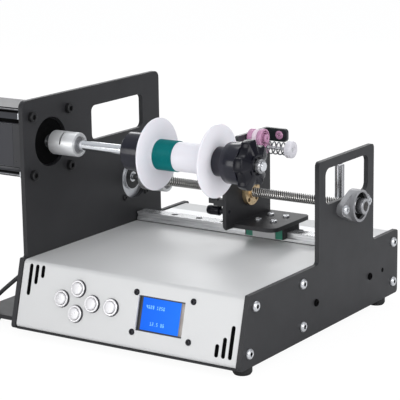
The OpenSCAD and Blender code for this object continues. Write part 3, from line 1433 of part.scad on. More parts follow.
// Domed thumb screw through the upright's front edge
module clamp_knob() color([0.08, 0.08, 0.08]) difference() {
    face = upright_x - bracket_t - block_clear;
    stem = 1.5 * bracket_t;
    x_turned(face - clamp_len - stem, clamp_y, clamp_z, [
        [0, 0], [0.55 * clamp_r, 0], [0.9 * clamp_r, 0.25 * clamp_r], [clamp_r, 0.7 * clamp_r], [clamp_r,
        clamp_len],
        [0.6 * clamp_r, clamp_len + clamp_r / 4], [0.6 * clamp_r, clamp_len + stem],
        [tension_r, clamp_len + stem], [tension_r, clamp_len + stem + bracket_t + block_clear], [0,
        clamp_len + stem + bracket_t + block_clear]]);
    for (a = [0 : 30 : 330])
        x_rod(face - clamp_len - stem + clamp_r, clamp_len, clamp_r / 8,
            clamp_y + 1.02 * clamp_r * cos(a), clamp_z + 1.02 * clamp_r * sin(a));
}

placed() left_plate();
placed() right_plate();
placed() front_cover();
placed() deck_plate();
placed() rear_cover();
placed() bottom_plate();
placed() outrigger_plate();
placed() rubber_feet();
placed() side_screws();
placed() guide_post();
placed() main_motor_stack();
placed() main_motor_bells();
placed() traverse_motor_stack();
placed() traverse_motor_bells();
placed() motor_screws();
placed() flange_bearing();
placed() bearing_bolts();
placed() guide_rail();
placed() button_bezels();
placed() display_frame();
placed() display_glass();
placed() control_board();
placed() motor_drivers();
placed() power_inlet();
placed() motor_cable();
placed() cable_glands();
placed() power_switch();
placed() motor_shaft();
placed() spindle_coupling();
placed() spindle_shaft();
placed() left_hub();
placed() bobbin();
placed() winding();
placed() right_hub();
placed() lock_nut();
placed() star_knob();
placed() traverse_shaft();
placed() lead_coupling();
placed() lead_screw();
placed() bearing_insert();
placed() carriage_bracket();
placed() lead_nut();
placed() guide_block();
placed() block_caps();
placed() bracket_screws();
placed() tensioner_arm();
placed() tension_screw();
placed() tension_discs();
placed() tension_spring();
placed() guide_eyelet();
placed() travel_bumper();
placed() wire_block();
placed() guide_pulley();
placed() thumb_nut();
placed() clamp_knob();
placed() button_top();
placed() button_left();
placed() button_right();
placed() button_bottom();
placed() button_far();
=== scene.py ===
import math

import bmesh
import bpy
from mathutils import Matrix, Vector


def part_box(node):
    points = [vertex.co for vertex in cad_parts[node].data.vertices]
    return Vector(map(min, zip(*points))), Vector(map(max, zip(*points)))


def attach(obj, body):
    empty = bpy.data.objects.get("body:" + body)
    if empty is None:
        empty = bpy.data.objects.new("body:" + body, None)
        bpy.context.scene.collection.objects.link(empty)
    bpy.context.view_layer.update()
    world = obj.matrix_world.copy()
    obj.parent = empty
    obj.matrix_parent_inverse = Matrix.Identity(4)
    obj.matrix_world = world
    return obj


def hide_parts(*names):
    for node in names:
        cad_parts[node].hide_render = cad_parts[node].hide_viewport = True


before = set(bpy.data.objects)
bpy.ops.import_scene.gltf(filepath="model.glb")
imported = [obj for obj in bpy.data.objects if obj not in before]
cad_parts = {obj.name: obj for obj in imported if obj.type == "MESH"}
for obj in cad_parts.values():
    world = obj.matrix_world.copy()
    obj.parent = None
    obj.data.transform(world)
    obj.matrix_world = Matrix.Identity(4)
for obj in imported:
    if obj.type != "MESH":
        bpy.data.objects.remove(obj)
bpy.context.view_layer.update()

MM = 0.001
TURN = 2 * math.pi

# Places below are given as in the part: X from the left plate's inner face, Y from the base's front edge and
# Z from the plates' lower edge, in millimetres. at() turns them into the frame's metres.
BASE_DEPTH = 252
LEFT_LOW, LEFT_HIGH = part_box("left_plate")
ORIGIN = Vector((LEFT_HIGH.x, LEFT_HIGH.y - BASE_DEPTH * MM, LEFT_LOW.z))


def at(x, y, z):
    return ORIGIN + Vector((x, y, z)) * MM


def place_of(node_name):
    """Lowest and highest corner of a node in the part's own millimetres."""
    low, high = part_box(node_name)
    return (low - ORIGIN) / MM, (high - ORIGIN) / MM


def round_part(node_name):
    """Left end, right end, axis y, axis z and radius of a round node that lies along X."""
    low, high = place_of(node_name)
    return low.x, high.x, (low.y + high.y) / 2, (low.z + high.z) / 2, (high.y - low.y) / 2


# Sizes shared by several pieces, in millimetres
INNER_WIDTH = place_of("right_plate")[0].x
PLATE = place_of("right_plate")[1].x - INNER_WIDTH
RIGHT_FACE = INNER_WIDTH + PLATE
SPINDLE_Y, SPINDLE_Z = round_part("spindle_shaft")[2:4]
LEAD_LEFT, LEAD_RIGHT, LEAD_Y, LEAD_Z, LEAD_R = round_part("lead_screw")
SHAFT_BORE = 4.05
PANEL_LEAN = math.atan2(15, 55)
PANEL_RECESS = 1


# Shader nodes

def put(tree, made, sockets):
    """Gives a node's sockets, by name or number, a value each or another node's output."""
    for key, value in sockets.items():
        if isinstance(value, bpy.types.NodeSocket):
            tree.links.new(value, made.inputs[key])
        else:
            made.inputs[key].default_value = value


def node(tree, kind, sockets=None, mode=None):
    """Adds a shader node. mode is its operation, or the type of what it mixes."""
    made = tree.nodes.new("ShaderNode" + kind)
    if mode:
        setattr(made, "data_type" if kind == "Mix" else "operation", mode)
    put(tree, made, sockets or {})
    return made


def ramp_between(tree, factor, low, high, start=0.0, end=1.0):
    """A value that goes from low to high while factor goes from start to end."""
    sockets = {"Value": factor, "From Min": start, "From Max": end, "To Min": low, "To Max": high}
    return node(tree, "MapRange", sockets).outputs["Result"]


def mixed(tree, factor, first, second):
    return node(tree, "Mix", {0: factor, 6: first, 7: second}, "RGBA").outputs[2]


def calculated(tree, operation, first, second):
    return node(tree, "Math", {0: first, 1: second}, operation).outputs[0]


def noise(tree, vector, scale, detail=3.0, roughness=0.5):
    sockets = {"Vector": vector, "Scale": scale, "Detail": detail, "Roughness": roughness}
    return node(tree, "TexNoise", sockets).outputs["Fac"]


def stretched(tree, vector, scale):
    return node(tree, "Mapping", {"Vector": vector, "Scale": scale}).outputs["Vector"]


def object_coords(tree):
    return node(tree, "TexCoord").outputs["Object"]


def round_axis(tree, coords, axis_y, axis_z):
    """Coordinates along an axis parallel to X and away from it, for turned marks."""
    axis = at(0, axis_y, axis_z)
    moved = node(tree, "VectorMath", {0: coords, 1: (0, axis.y, axis.z)}, "SUBTRACT")
    parts = node(tree, "SeparateXYZ", {0: moved.outputs[0]}).outputs
    flat = node(tree, "CombineXYZ", {"X": parts["Y"], "Y": parts["Z"]})
    away = node(tree, "VectorMath", {0: flat.outputs[0]}, "LENGTH").outputs["Value"]
    return node(tree, "CombineXYZ", {"X": parts["X"], "Y": away}).outputs[0]


def worn_edges(tree, radius):
    """Brighter towards edges, from the difference of rounded and true normal."""
    rounded = node(tree, "Bevel", {"Radius": radius})
    rounded.samples = 4
    plain = node(tree, "NewGeometry").outputs["Normal"]
    product = node(tree, "VectorMath", {0: rounded.outputs[0], 1: plain}, "DOT_PRODUCT")
    return ramp_between(tree, product.outputs["Value"], 1.0, 0.0, 0.6, 0.98)


# Materials

NOISE_RANGE = (0.3, 0.7)
TURNED_MARKS = (4000, 4000, 1)
WEAR_RADIUS = 0.5
WEAR_PATCHES = 400.0
COAT_ROUGHNESS = 0.15


def finish(name, color, metallic=0.0, rough=0.4, rough_vary=0.08, grain=None, vary=0.06, vary_scale=60.0,
           wear=0.0, coat=0.0, specular=0.5, turned=None, brushed=None, sheen=0.0, streaks=0.06, more=None):
    """Procedural surface: colour and roughness vary, with grain in the bump and turned or brushed streaks.

    grain is (size in mm, height in mm). turned is the axis' (y, z) in part millimetres, and brushed is the
    stretch of the marks along x, y and z. streaks is the change in roughness of either, and more holds other
    sockets."""
    made = bpy.data.materials.new(name)
    made.use_nodes = True
    tree = made.node_tree
    coords = object_coords(tree)
    dark = [c * (1 - vary) for c in color]
    light = [min(1.0, c * (1 + vary) + vary * 0.01) for c in color]
    broad = ramp_between(tree, noise(tree, coords, vary_scale, 4.0, 0.6), 0.0, 1.0, *NOISE_RANGE)
    colour = mixed(tree, broad, (*dark, 1), (*light, 1))
    if wear:
        bright = [min(1.0, c * 1.8 + 0.06) for c in color]
        patchy = ramp_between(tree, noise(tree, coords, WEAR_PATCHES), 0.0, wear, 0.35, 0.65)
        worn = calculated(tree, "MULTIPLY", worn_edges(tree, WEAR_RADIUS * MM), patchy)
        colour = mixed(tree, worn, colour, (*bright, 1))
    roughness = ramp_between(tree, noise(tree, coords, vary_scale * 2.3, 5.0, 0.6),
                             max(0.02, rough - rough_vary), rough + rough_vary, *NOISE_RANGE)
    lines = None
    if turned:
        lines = noise(tree, stretched(tree, round_axis(tree, coords, *turned), TURNED_MARKS), 1.0, 2.0)
    elif brushed:
        lines = noise(tree, stretched(tree, coords, brushed), 1.0, 3.0, 0.6)
    if lines is not None:
        change = ramp_between(tree, lines, -streaks, streaks, *NOISE_RANGE)
        roughness = calculated(tree, "ADD", roughness, change)
    sockets = {"Base Color": colour, "Roughness": roughness, "Metallic": metallic, "Coat Weight": coat,
               "Coat Roughness": COAT_ROUGHNESS, "Specular IOR Level": specular,
               "Sheen Weight": sheen, **(more or {})}
    if grain:
        height = noise(tree, coords, 1 / (grain[0] * MM), 2.0, 0.6)
        bump = node(tree, "Bump", {"Height": height, "Strength": 1.0, "Distance": grain[1] * MM})
        sockets["Normal"] = bump.outputs[0]
    put(tree, tree.nodes["Principled BSDF"], sockets)
    return made


SPINDLE_AXIS = (SPINDLE_Y, SPINDLE_Z)
LEAD_AXIS = (LEAD_Y, LEAD_Z)
SATIN = dict(color=(0.74, 0.745, 0.75), metallic=0.55, rough=0.40, rough_vary=0.02, streaks=0.05, vary=0.02)
SURFACES = {
    # Painted and bare sheet
    "powder_black": dict(color=(0.021, 0.021, 0.023), rough=0.46, rough_vary=0.03, grain=(0.5, 0.004),
                         vary=0.06, vary_scale=25.0, wear=0.40, specular=0.36),
    "powder_silver": dict(color=(0.67, 0.67, 0.665), metallic=0.12, rough=0.42, rough_vary=0.015,
                          grain=(0.6, 0.001), vary=0.008, vary_scale=12.0, specular=0.42),
    "bare_sheet": dict(color=(0.93, 0.93, 0.93), metallic=0.35, rough=0.36, rough_vary=0.01,
                       brushed=(30, 900, 900), streaks=0.012, vary=0.008, vary_scale=14.0),
    # Steel
    "rail_steel": dict(color=(0.76, 0.765, 0.77), metallic=0.7, rough=0.24, rough_vary=0.008,
                       brushed=(20, 1500, 1500), streaks=0.012, vary=0.008),
    "block_steel": dict(color=(0.42, 0.425, 0.43), metallic=0.6, rough=0.36, rough_vary=0.01,
                        brushed=(40, 1500, 1500), streaks=0.012, vary=0.01),
    "polished_steel": dict(color=(0.80, 0.81, 0.83), metallic=1.0, rough=0.16, rough_vary=0.02,
                           brushed=(40, 1500, 1500), streaks=0.02, vary=0.03),
    "dark_steel": dict(color=(0.40, 0.40, 0.415), metallic=0.9, rough=0.24, rough_vary=0.03,
                       grain=(0.6, 0.001), vary=0.05),
    "nut_steel": dict(color=(0.36, 0.36, 0.37), metallic=0.85, rough=0.28, rough_vary=0.03,
                      grain=(0.6, 0.001), vary=0.05),
    "bezel_steel": dict(color=(0.74, 0.73, 0.74), metallic=0.5, rough=0.28, rough_vary=0.02,
                        grain=(0.5, 0.0005), vary=0.03),
    "button_face": dict(color=(0.74, 0.73, 0.74), metallic=0.25, rough=0.32, grain=(0.6, 0.0004), vary=0.02),
    # Painted dark reflection for the outer flank of the button bezels
    "bezel_flank_shade": dict(color=(0.045, 0.045, 0.05), metallic=0.4, rough=0.30, vary=0.05),
    "bezel_grey": dict(color=(0.22, 0.20, 0.19), metallic=0.6, rough=0.35, vary=0.05),
    "screw_steel": dict(color=(0.70, 0.71, 0.73), metallic=0.85, rough=0.28, rough_vary=0.03,
                        grain=(0.8, 0.0008), vary=0.05),
    "spring_steel": dict(color=(0.26, 0.265, 0.275), metallic=0.9, rough=0.24, vary=0.08, vary_scale=300.0),
    "thread_steel": dict(color=(0.66, 0.65, 0.63), metallic=0.8, rough=0.25, rough_vary=0.03, vary=0.06,
                         vary_scale=150.0),
    # Other metals
    "satin_alu": dict(SATIN, turned=SPINDLE_AXIS),
    "satin_alu_lead": dict(SATIN, turned=LEAD_AXIS),
    "cast_alu": dict(color=(0.30, 0.30, 0.31), metallic=0.5, rough=0.42, grain=(0.5, 0.006), vary=0.10,
                     wear=0.9),
    "brass": dict(color=(0.66, 0.49, 0.28), metallic=0.7, rough=0.32, turned=LEAD_AXIS, streaks=0.04,
                  vary=0.14, vary_scale=120.0),
    # Motors
    "motor_silver": dict(color=(0.66, 0.67, 0.69), metallic=0.8, rough=0.34, grain=(0.7, 0.004), vary=0.05),
    "motor_black": dict(color=(0.022, 0.022, 0.025), rough=0.34, grain=(0.8, 0.004), vary=0.10, coat=0.15,
                        wear=0.3),
    "stack_black": dict(color=(0.018, 0.018, 0.024), rough=0.30, rough_vary=0.01, brushed=(2500, 30, 30),
                        streaks=0.01, vary=0.04, coat=0.4),
    # Painted highlight: light grey for the lit lines on the motor's corner steps
    "motor_highlight_grey": dict(color=(0.30, 0.30, 0.31), metallic=0.5, rough=0.30, vary=0.05),
    # Black fittings, and a near-black that is both the colour of black screws and painted shade in slots,
    # gaps and hollows
    "oxide_black": dict(color=(0.014, 0.014, 0.015), metallic=0.3, rough=0.40, grain=(0.5, 0.003), vary=0.12),
    "hub_black": dict(color=(0.008, 0.008, 0.016), rough=0.20, rough_vary=0.02, vary=0.08, specular=0.42,
                      turned=SPINDLE_AXIS, streaks=0.015),
    "knob_black": dict(color=(0.004, 0.004, 0.008), rough=0.24, rough_vary=0.02, grain=(0.6, 0.001),
                       vary=0.06, specular=0.24),
    "arm_black": dict(color=(0.018, 0.024, 0.026), rough=0.34, grain=(0.5, 0.008), vary=0.10,
                      wear=0.3, coat=0.2),
    "soft_black": dict(color=(0.016, 0.016, 0.017), rough=0.62, grain=(0.5, 0.02), vary=0.12, specular=0.35),
    "plastic_black": dict(color=(0.020, 0.020, 0.022), rough=0.40, grain=(0.45, 0.008), vary=0.10),
    "cable_black": dict(color=(0.022, 0.022, 0.024), rough=0.45, grain=(0.4, 0.006), vary=0.10),
    "black_and_pit_shade": dict(color=(0.002, 0.002, 0.0022), rough=0.8, grain=(0.5, 0.004), vary=0.1, specular=0.04),
    # Bobbin, thread, ceramic and plastic
    "bobbin_white": dict(color=(0.82, 0.805, 0.85), rough=0.42, rough_vary=0.03, vary=0.01, vary_scale=30.0,
                         turned=SPINDLE_AXIS, streaks=0.02, specular=0.35,
                         more={"Subsurface Weight": 0.25, "Subsurface Radius": (0.004, 0.003, 0.003)}),
    "thread_teal": dict(color=(0.0, 0.165, 0.170), rough=0.46, rough_vary=0.04, vary=0.06, vary_scale=300.0,
                        specular=0.12),
    "ceramic_pink": dict(color=(0.54, 0.27, 0.43), rough=0.20, rough_vary=0.03, vary=0.08, vary_scale=200.0,
                         coat=0.3),
    "ceramic_shade": dict(color=(0.13, 0.035, 0.085), rough=0.5, vary=0.05, specular=0.2),
    "felt_white": dict(color=(0.84, 0.70, 0.79), rough=0.75, grain=(0.18, 0.02), vary=0.05, vary_scale=500.0,
                       sheen=0.4),
    "nylon_white": dict(color=(0.74, 0.725, 0.77), rough=0.32, grain=(0.6, 0.002), vary=0.03),
    "cap_green": dict(color=(0.010, 0.185, 0.115), rough=0.36, grain=(0.5, 0.006), vary=0.06),
    "board_green": dict(color=(0.01, 0.10, 0.045), rough=0.30, grain=(0.4, 0.01), vary=0.15, coat=0.4),
    # Lit display
    "screen_blue": dict(color=(0.004, 0.03, 0.20), rough=0.4, vary=0.02, specular=0.05,
                        more={"Emission Strength": 0.85}),
    "screen_light": dict(color=(0.20, 0.50, 0.85), rough=0.3, vary=0.02, specular=0.1,
                         more={"Emission Color": (0.22, 0.55, 1.0, 1), "Emission Strength": 0.6}),
}
# Slot name of each surface, where it has another name than the surface
SLOTS = {
    "powder_black": "black_powder_coat", "powder_silver": "silver_powder_coat",
    "dark_steel": "polished_steel", "nut_steel": "screw_steel", "bezel_steel": "button_steel",
    "button_face": "button_steel", "bezel_flank_shade": "button_steel", "bezel_grey": "display_black",
    "thread_steel": "lead_steel", "satin_alu": "coupling_alu", "satin_alu_lead": "coupling_alu",
    "cast_alu": "bearing_metal", "brass": "nut_brass", "motor_highlight_grey": "stack_black",
    "oxide_black": "black_screws", "soft_black": "foot_rubber", "plastic_black": "display_black",
    "black_and_pit_shade": "black_screws",
    "ceramic_shade": "ceramic_pink", "felt_white": "nut_white", "nylon_white": "nut_white",
    "screen_blue": "display_blue", "screen_light": "display_blue"}
# Painted shade in the thread roots: its colour, and the radii over which it gives way to the crest's colour
THREAD_ROOT_SHADE_COLOR = (0.035, 0.031, 0.030, 1)
THREAD_FULL_SHADE_R = 3.3
THREAD_CREST_R = 3.9
MATERIALS = {}


def shade_thread_roots(tree, shader):
    """Painted shade between the threads, where light doesn't reach; the crests keep the steel's colour."""
    parts = node(tree, "SeparateXYZ", {0: round_axis(tree, object_coords(tree), *LEAD_AXIS)})
    depth = ramp_between(tree, parts.outputs["Y"], 0.0, 1.0, THREAD_FULL_SHADE_R * MM, THREAD_CREST_R * MM)
    crest = shader.inputs["Base Color"].links[0].from_socket
    put(tree, shader, {"Base Color": mixed(tree, depth, THREAD_ROOT_SHADE_COLOR, crest)})


def light_screen(tree, shader):
    """Blue that is a little lighter to the right."""
    low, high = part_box("display_glass")
    parts = node(tree, "SeparateXYZ", {0: object_coords(tree)})
    across = ramp_between(tree, parts.outputs["X"], 0.0, 1.0, low.x, high.x)
    glow = mixed(tree, across, (0.012, 0.150, 0.90, 1), (0.020, 0.215, 0.98, 1))
    put(tree, shader, {"Emission Color": glow})


DETAILS = {"thread_steel": shade_thread_roots, "screen_blue": light_screen}


def surface(name):
    """The material of this name, made when it is first asked for."""
    if name not in MATERIALS:
        made = finish(name, **SURFACES[name])
        if name in DETAILS:
            DETAILS[name](made.node_tree, made.node_tree.nodes["Principled BSDF"])
        MATERIALS[name] = made
    return MATERIALS[name]


# Mesh helpers

def in_scene(name, data):
    made = bpy.data.objects.new(name, data)
    bpy.context.scene.collection.objects.link(made)
    return made


def make_object(name, mesh, surface_name, *nodes, body="frame", slot=None):
    """Puts a finished mesh on a body. nodes are the CAD nodes that it stands for."""
    made = in_scene(name, mesh)
    mesh.materials.append(surface(surface_name))
    slot = slot or SLOTS.get(surface_name, surface_name)
    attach(made, body)
    if nodes:
        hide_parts(*nodes)
    return made


def mesh_from(bm, name, degrees):
    """Turns bm into a mesh that is smooth across edges of up to this many degrees."""
    bmesh.ops.recalc_face_normals(bm, faces=bm.faces)
    limit = math.radians(degrees)
    for face in bm.faces:
        face.smooth = True
    for edge in bm.edges:
        edge.smooth = not (len(edge.link_faces) == 2 and edge.calc_face_angle(0.0) > limit)
    mesh = bpy.data.meshes.new(name)
    bm.to_mesh(mesh)
    bm.free()
    return mesh


def piece(bm, name, surface_name, *nodes, degrees=28, **where):
    """Makes an object of bm. where holds its body, if it isn't the usual one, and a slot, which is not used.
    """
    return make_object(name, mesh_from(bm, name, degrees), surface_name, *nodes, **where)


# Each of these places a piece made along z so that it points that way from a point

def along_x(x, y, z):
    return Matrix.Translation(at(x, y, z)) @ Matrix.Rotation(math.pi / 2, 4, "Y")


def along_minus_x(x, y, z):
    return Matrix.Translation(at(x, y, z)) @ Matrix.Rotation(-math.pi / 2, 4, "Y")


def along_y(x, y, z):
    return Matrix.Translation(at(x, y, z)) @ Matrix.Rotation(-math.pi / 2, 4, "X")


def along_z(x, y, z):
    return Matrix.Translation(at(x, y, z))


def on_spindle(x):
    return along_x(x, SPINDLE_Y, SPINDLE_Z)


def on_lead(x):
    return along_x(x, LEAD_Y, LEAD_Z)


PANEL = Matrix.Translation(at(0, 0, 0)) @ Matrix.Rotation(math.pi / 2 - PANEL_LEAN, 4, "X")


def on_panel(x, v, out):
    """Places a piece on the sloping front: x along it, v up it and out of its face."""
    return PANEL @ Matrix.Translation(Vector((x, v, out - PANEL_RECESS)) * MM)


def skin(bm, loops, closed=False):
    """Joins rings of vertices by faces, and closes the ends or joins the last ring to the first."""
    pairs = list(zip(loops, loops[1:])) + ([(loops[-1], loops[0])] if closed else [])
    for lower, upper in pairs:
        for k in range(len(lower)):
            n = (k + 1) % len(lower)
            bm.faces.new((lower[k], lower[n], upper[n], upper[k]))
    if not closed:
        bm.faces.new(list(reversed(loops[0])))
        bm.faces.new(loops[-1])


def add_lathe(bm, rings, place, segments, closed=False):
    """Adds a solid of rings, each a radius or a function of the angle, and a height."""
    loops = []
    for radius, z in rings:
        loop = []
        for k in range(segments):
            angle = TURN * k / segments
            r = radius(angle) if callable(radius) else radius
            loop.append(bm.verts.new(place @ (Vector((r * math.cos(angle), r * math.sin(angle), z)) * MM)))
        loops.append(loop)
    skin(bm, loops, closed)


def lathe(name, rings, places, surface_name, *nodes, segments=64, closed=True, degrees=32, **where):
    """Piece of one turned shape, at one place or at each of a list."""
    bm = bmesh.new()
    for place in places if isinstance(places, list) else [places]:
        add_lathe(bm, rings, place, segments, closed)
    return piece(bm, name, surface_name, *nodes, degrees=degrees, **where)


def hexagon(apothem):
    """Radius of a hexagon at an angle, for a socket or a nut."""
    return lambda angle: apothem / math.cos(angle % (TURN / 6) - TURN / 12)


def rounded_step(r0, z0, r1, z1, steps=5):
    """Quarter of an ellipse between two ring places, convex away from the axis and towards higher z."""
    return [(r0 + (r1 - r0) * (1 - math.cos(math.pi / 2 * k / steps)),
             z0 + (z1 - z0) * math.sin(math.pi / 2 * k / steps)) for k in range(steps + 1)]


def button_head_rings(radius, height, socket):
    """Domed screw head with a hexagonal socket, from its seat upwards and down into the socket."""
    dome = []
    for k in range(1, 7):
        angle = math.pi / 2 * k / 6
        dome.append((radius * (1 - 0.42 * (1 - math.cos(angle))), height * (0.12 + 0.88 * math.sin(angle))))
    return [(radius * 0.97, 0), (radius, height * 0.12), *dome, (socket * 1.22, height),
            (hexagon(socket), height * 0.93), (hexagon(socket), height * 0.25)]


def cap_head_rings(radius, height, socket):
    """Straight screw head with a rounded rim and a hexagonal socket."""
    return [(radius * 0.98, 0), (radius, height * 0.06),
            *rounded_step(radius, height * 0.82, radius * 0.88, height, 4), (socket * 1.2, height),
            (hexagon(socket), height * 0.92), (hexagon(socket), height * 0.3)]


def screws(name, kinds, surface_name, *nodes, **where):
    """Set of screws. A kind is its head's rings, places and segments, and its shank's radius and end."""
    bm = bmesh.new()
    for rings, places, segments, radius, end in kinds:
        for place in places:
            add_lathe(bm, rings, place, segments)
            add_lathe(bm, [(radius, end), (radius, -0.02)], place, 24)
    piece(bm, name, surface_name, *nodes, **where)


def softened(node_name, surface_name, width, segments=2, **where):
    """The node's own shape with its edges rounded a little, as paint or machining leaves them."""
    bm = bmesh.new()
    bm.from_mesh(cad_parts[node_name].data)
    bmesh.ops.remove_doubles(bm, verts=bm.verts, dist=0.0005 * MM)
    bmesh.ops.dissolve_limit(bm, angle_limit=math.radians(0.4), verts=bm.verts, edges=bm.edges)
    made = piece(bm, node_name + "_piece", surface_name, node_name, degrees=32, **where)
    bevel = made.modifiers.new("edges", "BEVEL")
    bevel.width = width * MM
    bevel.segments = segments
    bevel.limit_method = "ANGLE"
    bevel.angle_limit = math.radians(32)
    bevel.harden_normals = True
    bevel.use_clamp_overlap = True


def painted(node_name, surface_name):
    """Keeps the node itself and gives it a finish."""
    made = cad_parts[node_name]
    made.data.materials.clear()
    made.data.materials.append(surface(surface_name))


def sweep(name, points, radius, sides, surface_name, *nodes, **where):
    """Round rod along points in metres, with a frame that is carried along without twist."""
    bm = bmesh.new()
    loops = []
    side = (points[1] - points[0]).normalized().orthogonal().normalized()
    for i, point in enumerate(points):
        ahead = (points[min(i + 1, len(points) - 1)] - points[max(i - 1, 0)]).normalized()
        side = (side - ahead * side.dot(ahead)).normalized()
        other = ahead.cross(side)
        loop = []
        for k in range(sides):
            angle = TURN * k / sides
            loop.append(bm.verts.new(point + (side * math.cos(angle) + other * math.sin(angle)) * radius))
        loops.append(loop)
    skin(bm, loops)
    return piece(bm, name, surface_name, *nodes, degrees=60, **where)


def rod_ring(bm, x, y, z, radii):
    """Ring of vertices round an axis along X, with a radius for each of them."""
    loop = []
    for k, r in enumerate(radii):
        angle = TURN * k / len(radii)
        loop.append(bm.verts.new(at(x, y + r * math.cos(angle), z + r * math.sin(angle))))
    return loop


FLANK_SLOPE = 4.6
FLANK_START = 0.55
CHAMFER_PITCHES = 0.8


def thread(name, radius, depth, pitch, starts, x0, x1, y, z, surface_name, *nodes, segments, per_pitch,
           degrees, **where):
    """Threaded rod along X: rings whose radius follows the thread's flanks, with chamfered ends."""
    bm = bmesh.new()
    lead = pitch * starts
    count = int((x1 - x0) / pitch * per_pitch)
    loops = []
    for i in range(count + 1):
        x = x0 + (x1 - x0) * i / count
        fade = min(1.0, (x - x0) / (CHAMFER_PITCHES * pitch), (x1 - x) / (CHAMFER_PITCHES * pitch))
        radii = []
        for k in range(segments):
            phase = (x / lead * starts - starts * k / segments) % 1.0
            flank = min(1.0, max(0.0, abs(phase - 0.5) * FLANK_SLOPE - FLANK_START))
            radii.append(radius - depth * (1 - fade) - depth * fade * (1 - flank))
        loops.append(rod_ring(bm, x, y, z, radii))
    skin(bm, loops)
    piece(bm, name, surface_name, *nodes, degrees=degrees, **where)


def add_box(bm, low, high, place, bevel=0.0):
    """Box between two corners in millimetres, with bevelled edges."""
    made = bmesh.ops.create_cube(bm, size=1.0)["verts"]
    low, high = Vector(low), Vector(high)
    for vert in made:
        vert.co = Vector([low[i] + (vert.co[i] + 0.5) * (high[i] - low[i]) for i in range(3)]) * MM
    if bevel:
        edges = list({edge for vert in made for edge in vert.link_edges})
        made = bmesh.ops.bevel(bm, geom=edges, offset=bevel * MM, segments=2, profile=0.7,
                               affect="EDGES")["verts"]
        made = list({v for v in made} | {v for v in made for e in v.link_edges for v in e.verts})
    for vert in made:
        vert.co = place @ vert.co


def boxes(name, corners, place, surface_name, *nodes, bevel=0.0, degrees=32, **where):
    """Piece of boxes, each given by its lowest and highest corner."""
    bm = bmesh.new()
    for low, high in corners:
        add_box(bm, low, high, place, bevel)
    piece(bm, name, surface_name, *nodes, degrees=degrees, **where)


# Camera: the photograph's viewing angle, and the floor and light of a plain studio

PHOTO_SIZE = 400
CAMERA_AZIMUTH = math.radians(33.74)
CAMERA_ELEVATION = math.radians(13.38)
CAMERA_ROLL = math.radians(-0.86)
CAMERA_DISTANCE = 1350.76
CAMERA_TARGET = (110.01, 100.01, 88.49)
FOCAL_PIXELS = 1690.99
CENTRE_PIXEL = (196.96, 212.13)
SENSOR_WIDTH = 36
WHITE = (1, 1, 1, 1)
FLOOR_GLOW = 1.05
FLOOR_GLOW_SHARE = 0.90


def make_camera():
    az, el = CAMERA_AZIMUTH, CAMERA_ELEVATION
    forward = Vector((-math.sin(az) * math.cos(el), math.cos(az) * math.cos(el), -math.sin(el)))
    right = Vector((math.cos(az), math.sin(az), 0))
    up = right.cross(forward)
    rolled_right = right * math.cos(CAMERA_ROLL) + up * math.sin(CAMERA_ROLL)
    rolled_up = up * math.cos(CAMERA_ROLL) - right * math.sin(CAMERA_ROLL)
    data = bpy.data.cameras.new("camera")
    data.sensor_width = SENSOR_WIDTH
    data.lens = FOCAL_PIXELS / PHOTO_SIZE * SENSOR_WIDTH
    data.shift_x = (PHOTO_SIZE / 2 - CENTRE_PIXEL[0]) / PHOTO_SIZE
    data.shift_y = (CENTRE_PIXEL[1] - PHOTO_SIZE / 2) / PHOTO_SIZE
    data.clip_end = 30
    made = in_scene("camera", data)
    turned = Matrix((rolled_right, rolled_up, -forward)).transposed().to_4x4()
    made.matrix_world = Matrix.Translation(at(*CAMERA_TARGET) - forward * CAMERA_DISTANCE * MM) @ turned
    bpy.context.scene.camera = made


def emptied(data):
    """The cleared node tree of a material or world."""
    data.use_nodes = True
    data.node_tree.nodes.clear()
    return data.node_tree


def show_mix(tree, output, share, other, seen):
    mix = node(tree, "MixShader", {0: share, 1: other.outputs[0], 2: seen.outputs[0]})
    node(tree, output, {"Surface": mix.outputs[0]})


def make_floor():
    bm = bmesh.new()
    bmesh.ops.create_grid(bm, x_segments=1, y_segments=1, size=6)
    mesh = bpy.data.meshes.new("floor")
    bm.to_mesh(mesh)
    bm.free()
    floor = in_scene("floor", mesh)
    material = bpy.data.materials.new("floor_white")
    tree = emptied(material)
    matt = node(tree, "BsdfDiffuse", {"Color": (0.86, 0.86, 0.86, 1)})
    white = node(tree, "Emission", {"Color": WHITE, "Strength": FLOOR_GLOW})
    seen = node(tree, "LightPath").outputs["Is Camera Ray"]
    share = calculated(tree, "MULTIPLY", seen, FLOOR_GLOW_SHARE)
    show_mix(tree, "OutputMaterial", share, matt, white)
    mesh.materials.append(material)


def make_world():
    """White to the camera, a soft grey room that is darker towards the horizon to everything else."""
    world = bpy.data.worlds.new("studio")
    bpy.context.scene.world = world
    tree = emptied(world)
    parts = node(tree, "SeparateXYZ", {0: node(tree, "TexCoord").outputs["Generated"]})
    height = ramp_between(tree, parts.outputs["Z"], 0.0, 1.0, 0.05, 0.75)
    room = mixed(tree, height, (0.14, 0.14, 0.15, 1), (0.62, 0.64, 0.67, 1))
    fill = node(tree, "Background", {"Color": room, "Strength": 1.0})
    seen = node(tree, "Background", {"Color": WHITE, "Strength": 1.0})
    show_mix(tree, "OutputWorld", node(tree, "LightPath").outputs["Is Camera Ray"], fill, seen)


# Name, place, width and height in millimetres, and power in watts
LIGHTS = (("key", (1150, -1150, 800), 900, 900, 9), ("right_fill", (1600, 0, 450), 800, 800, 8),
          ("front_fill", (-500, -1500, 350), 900, 700, 7), ("top", (-100, 500, 1400), 900, 600, 3.0),
          ("rear", (-650, 1250, 745), 900, 500, 4.2))
LIGHT_TARGET = (100, 110, 70)


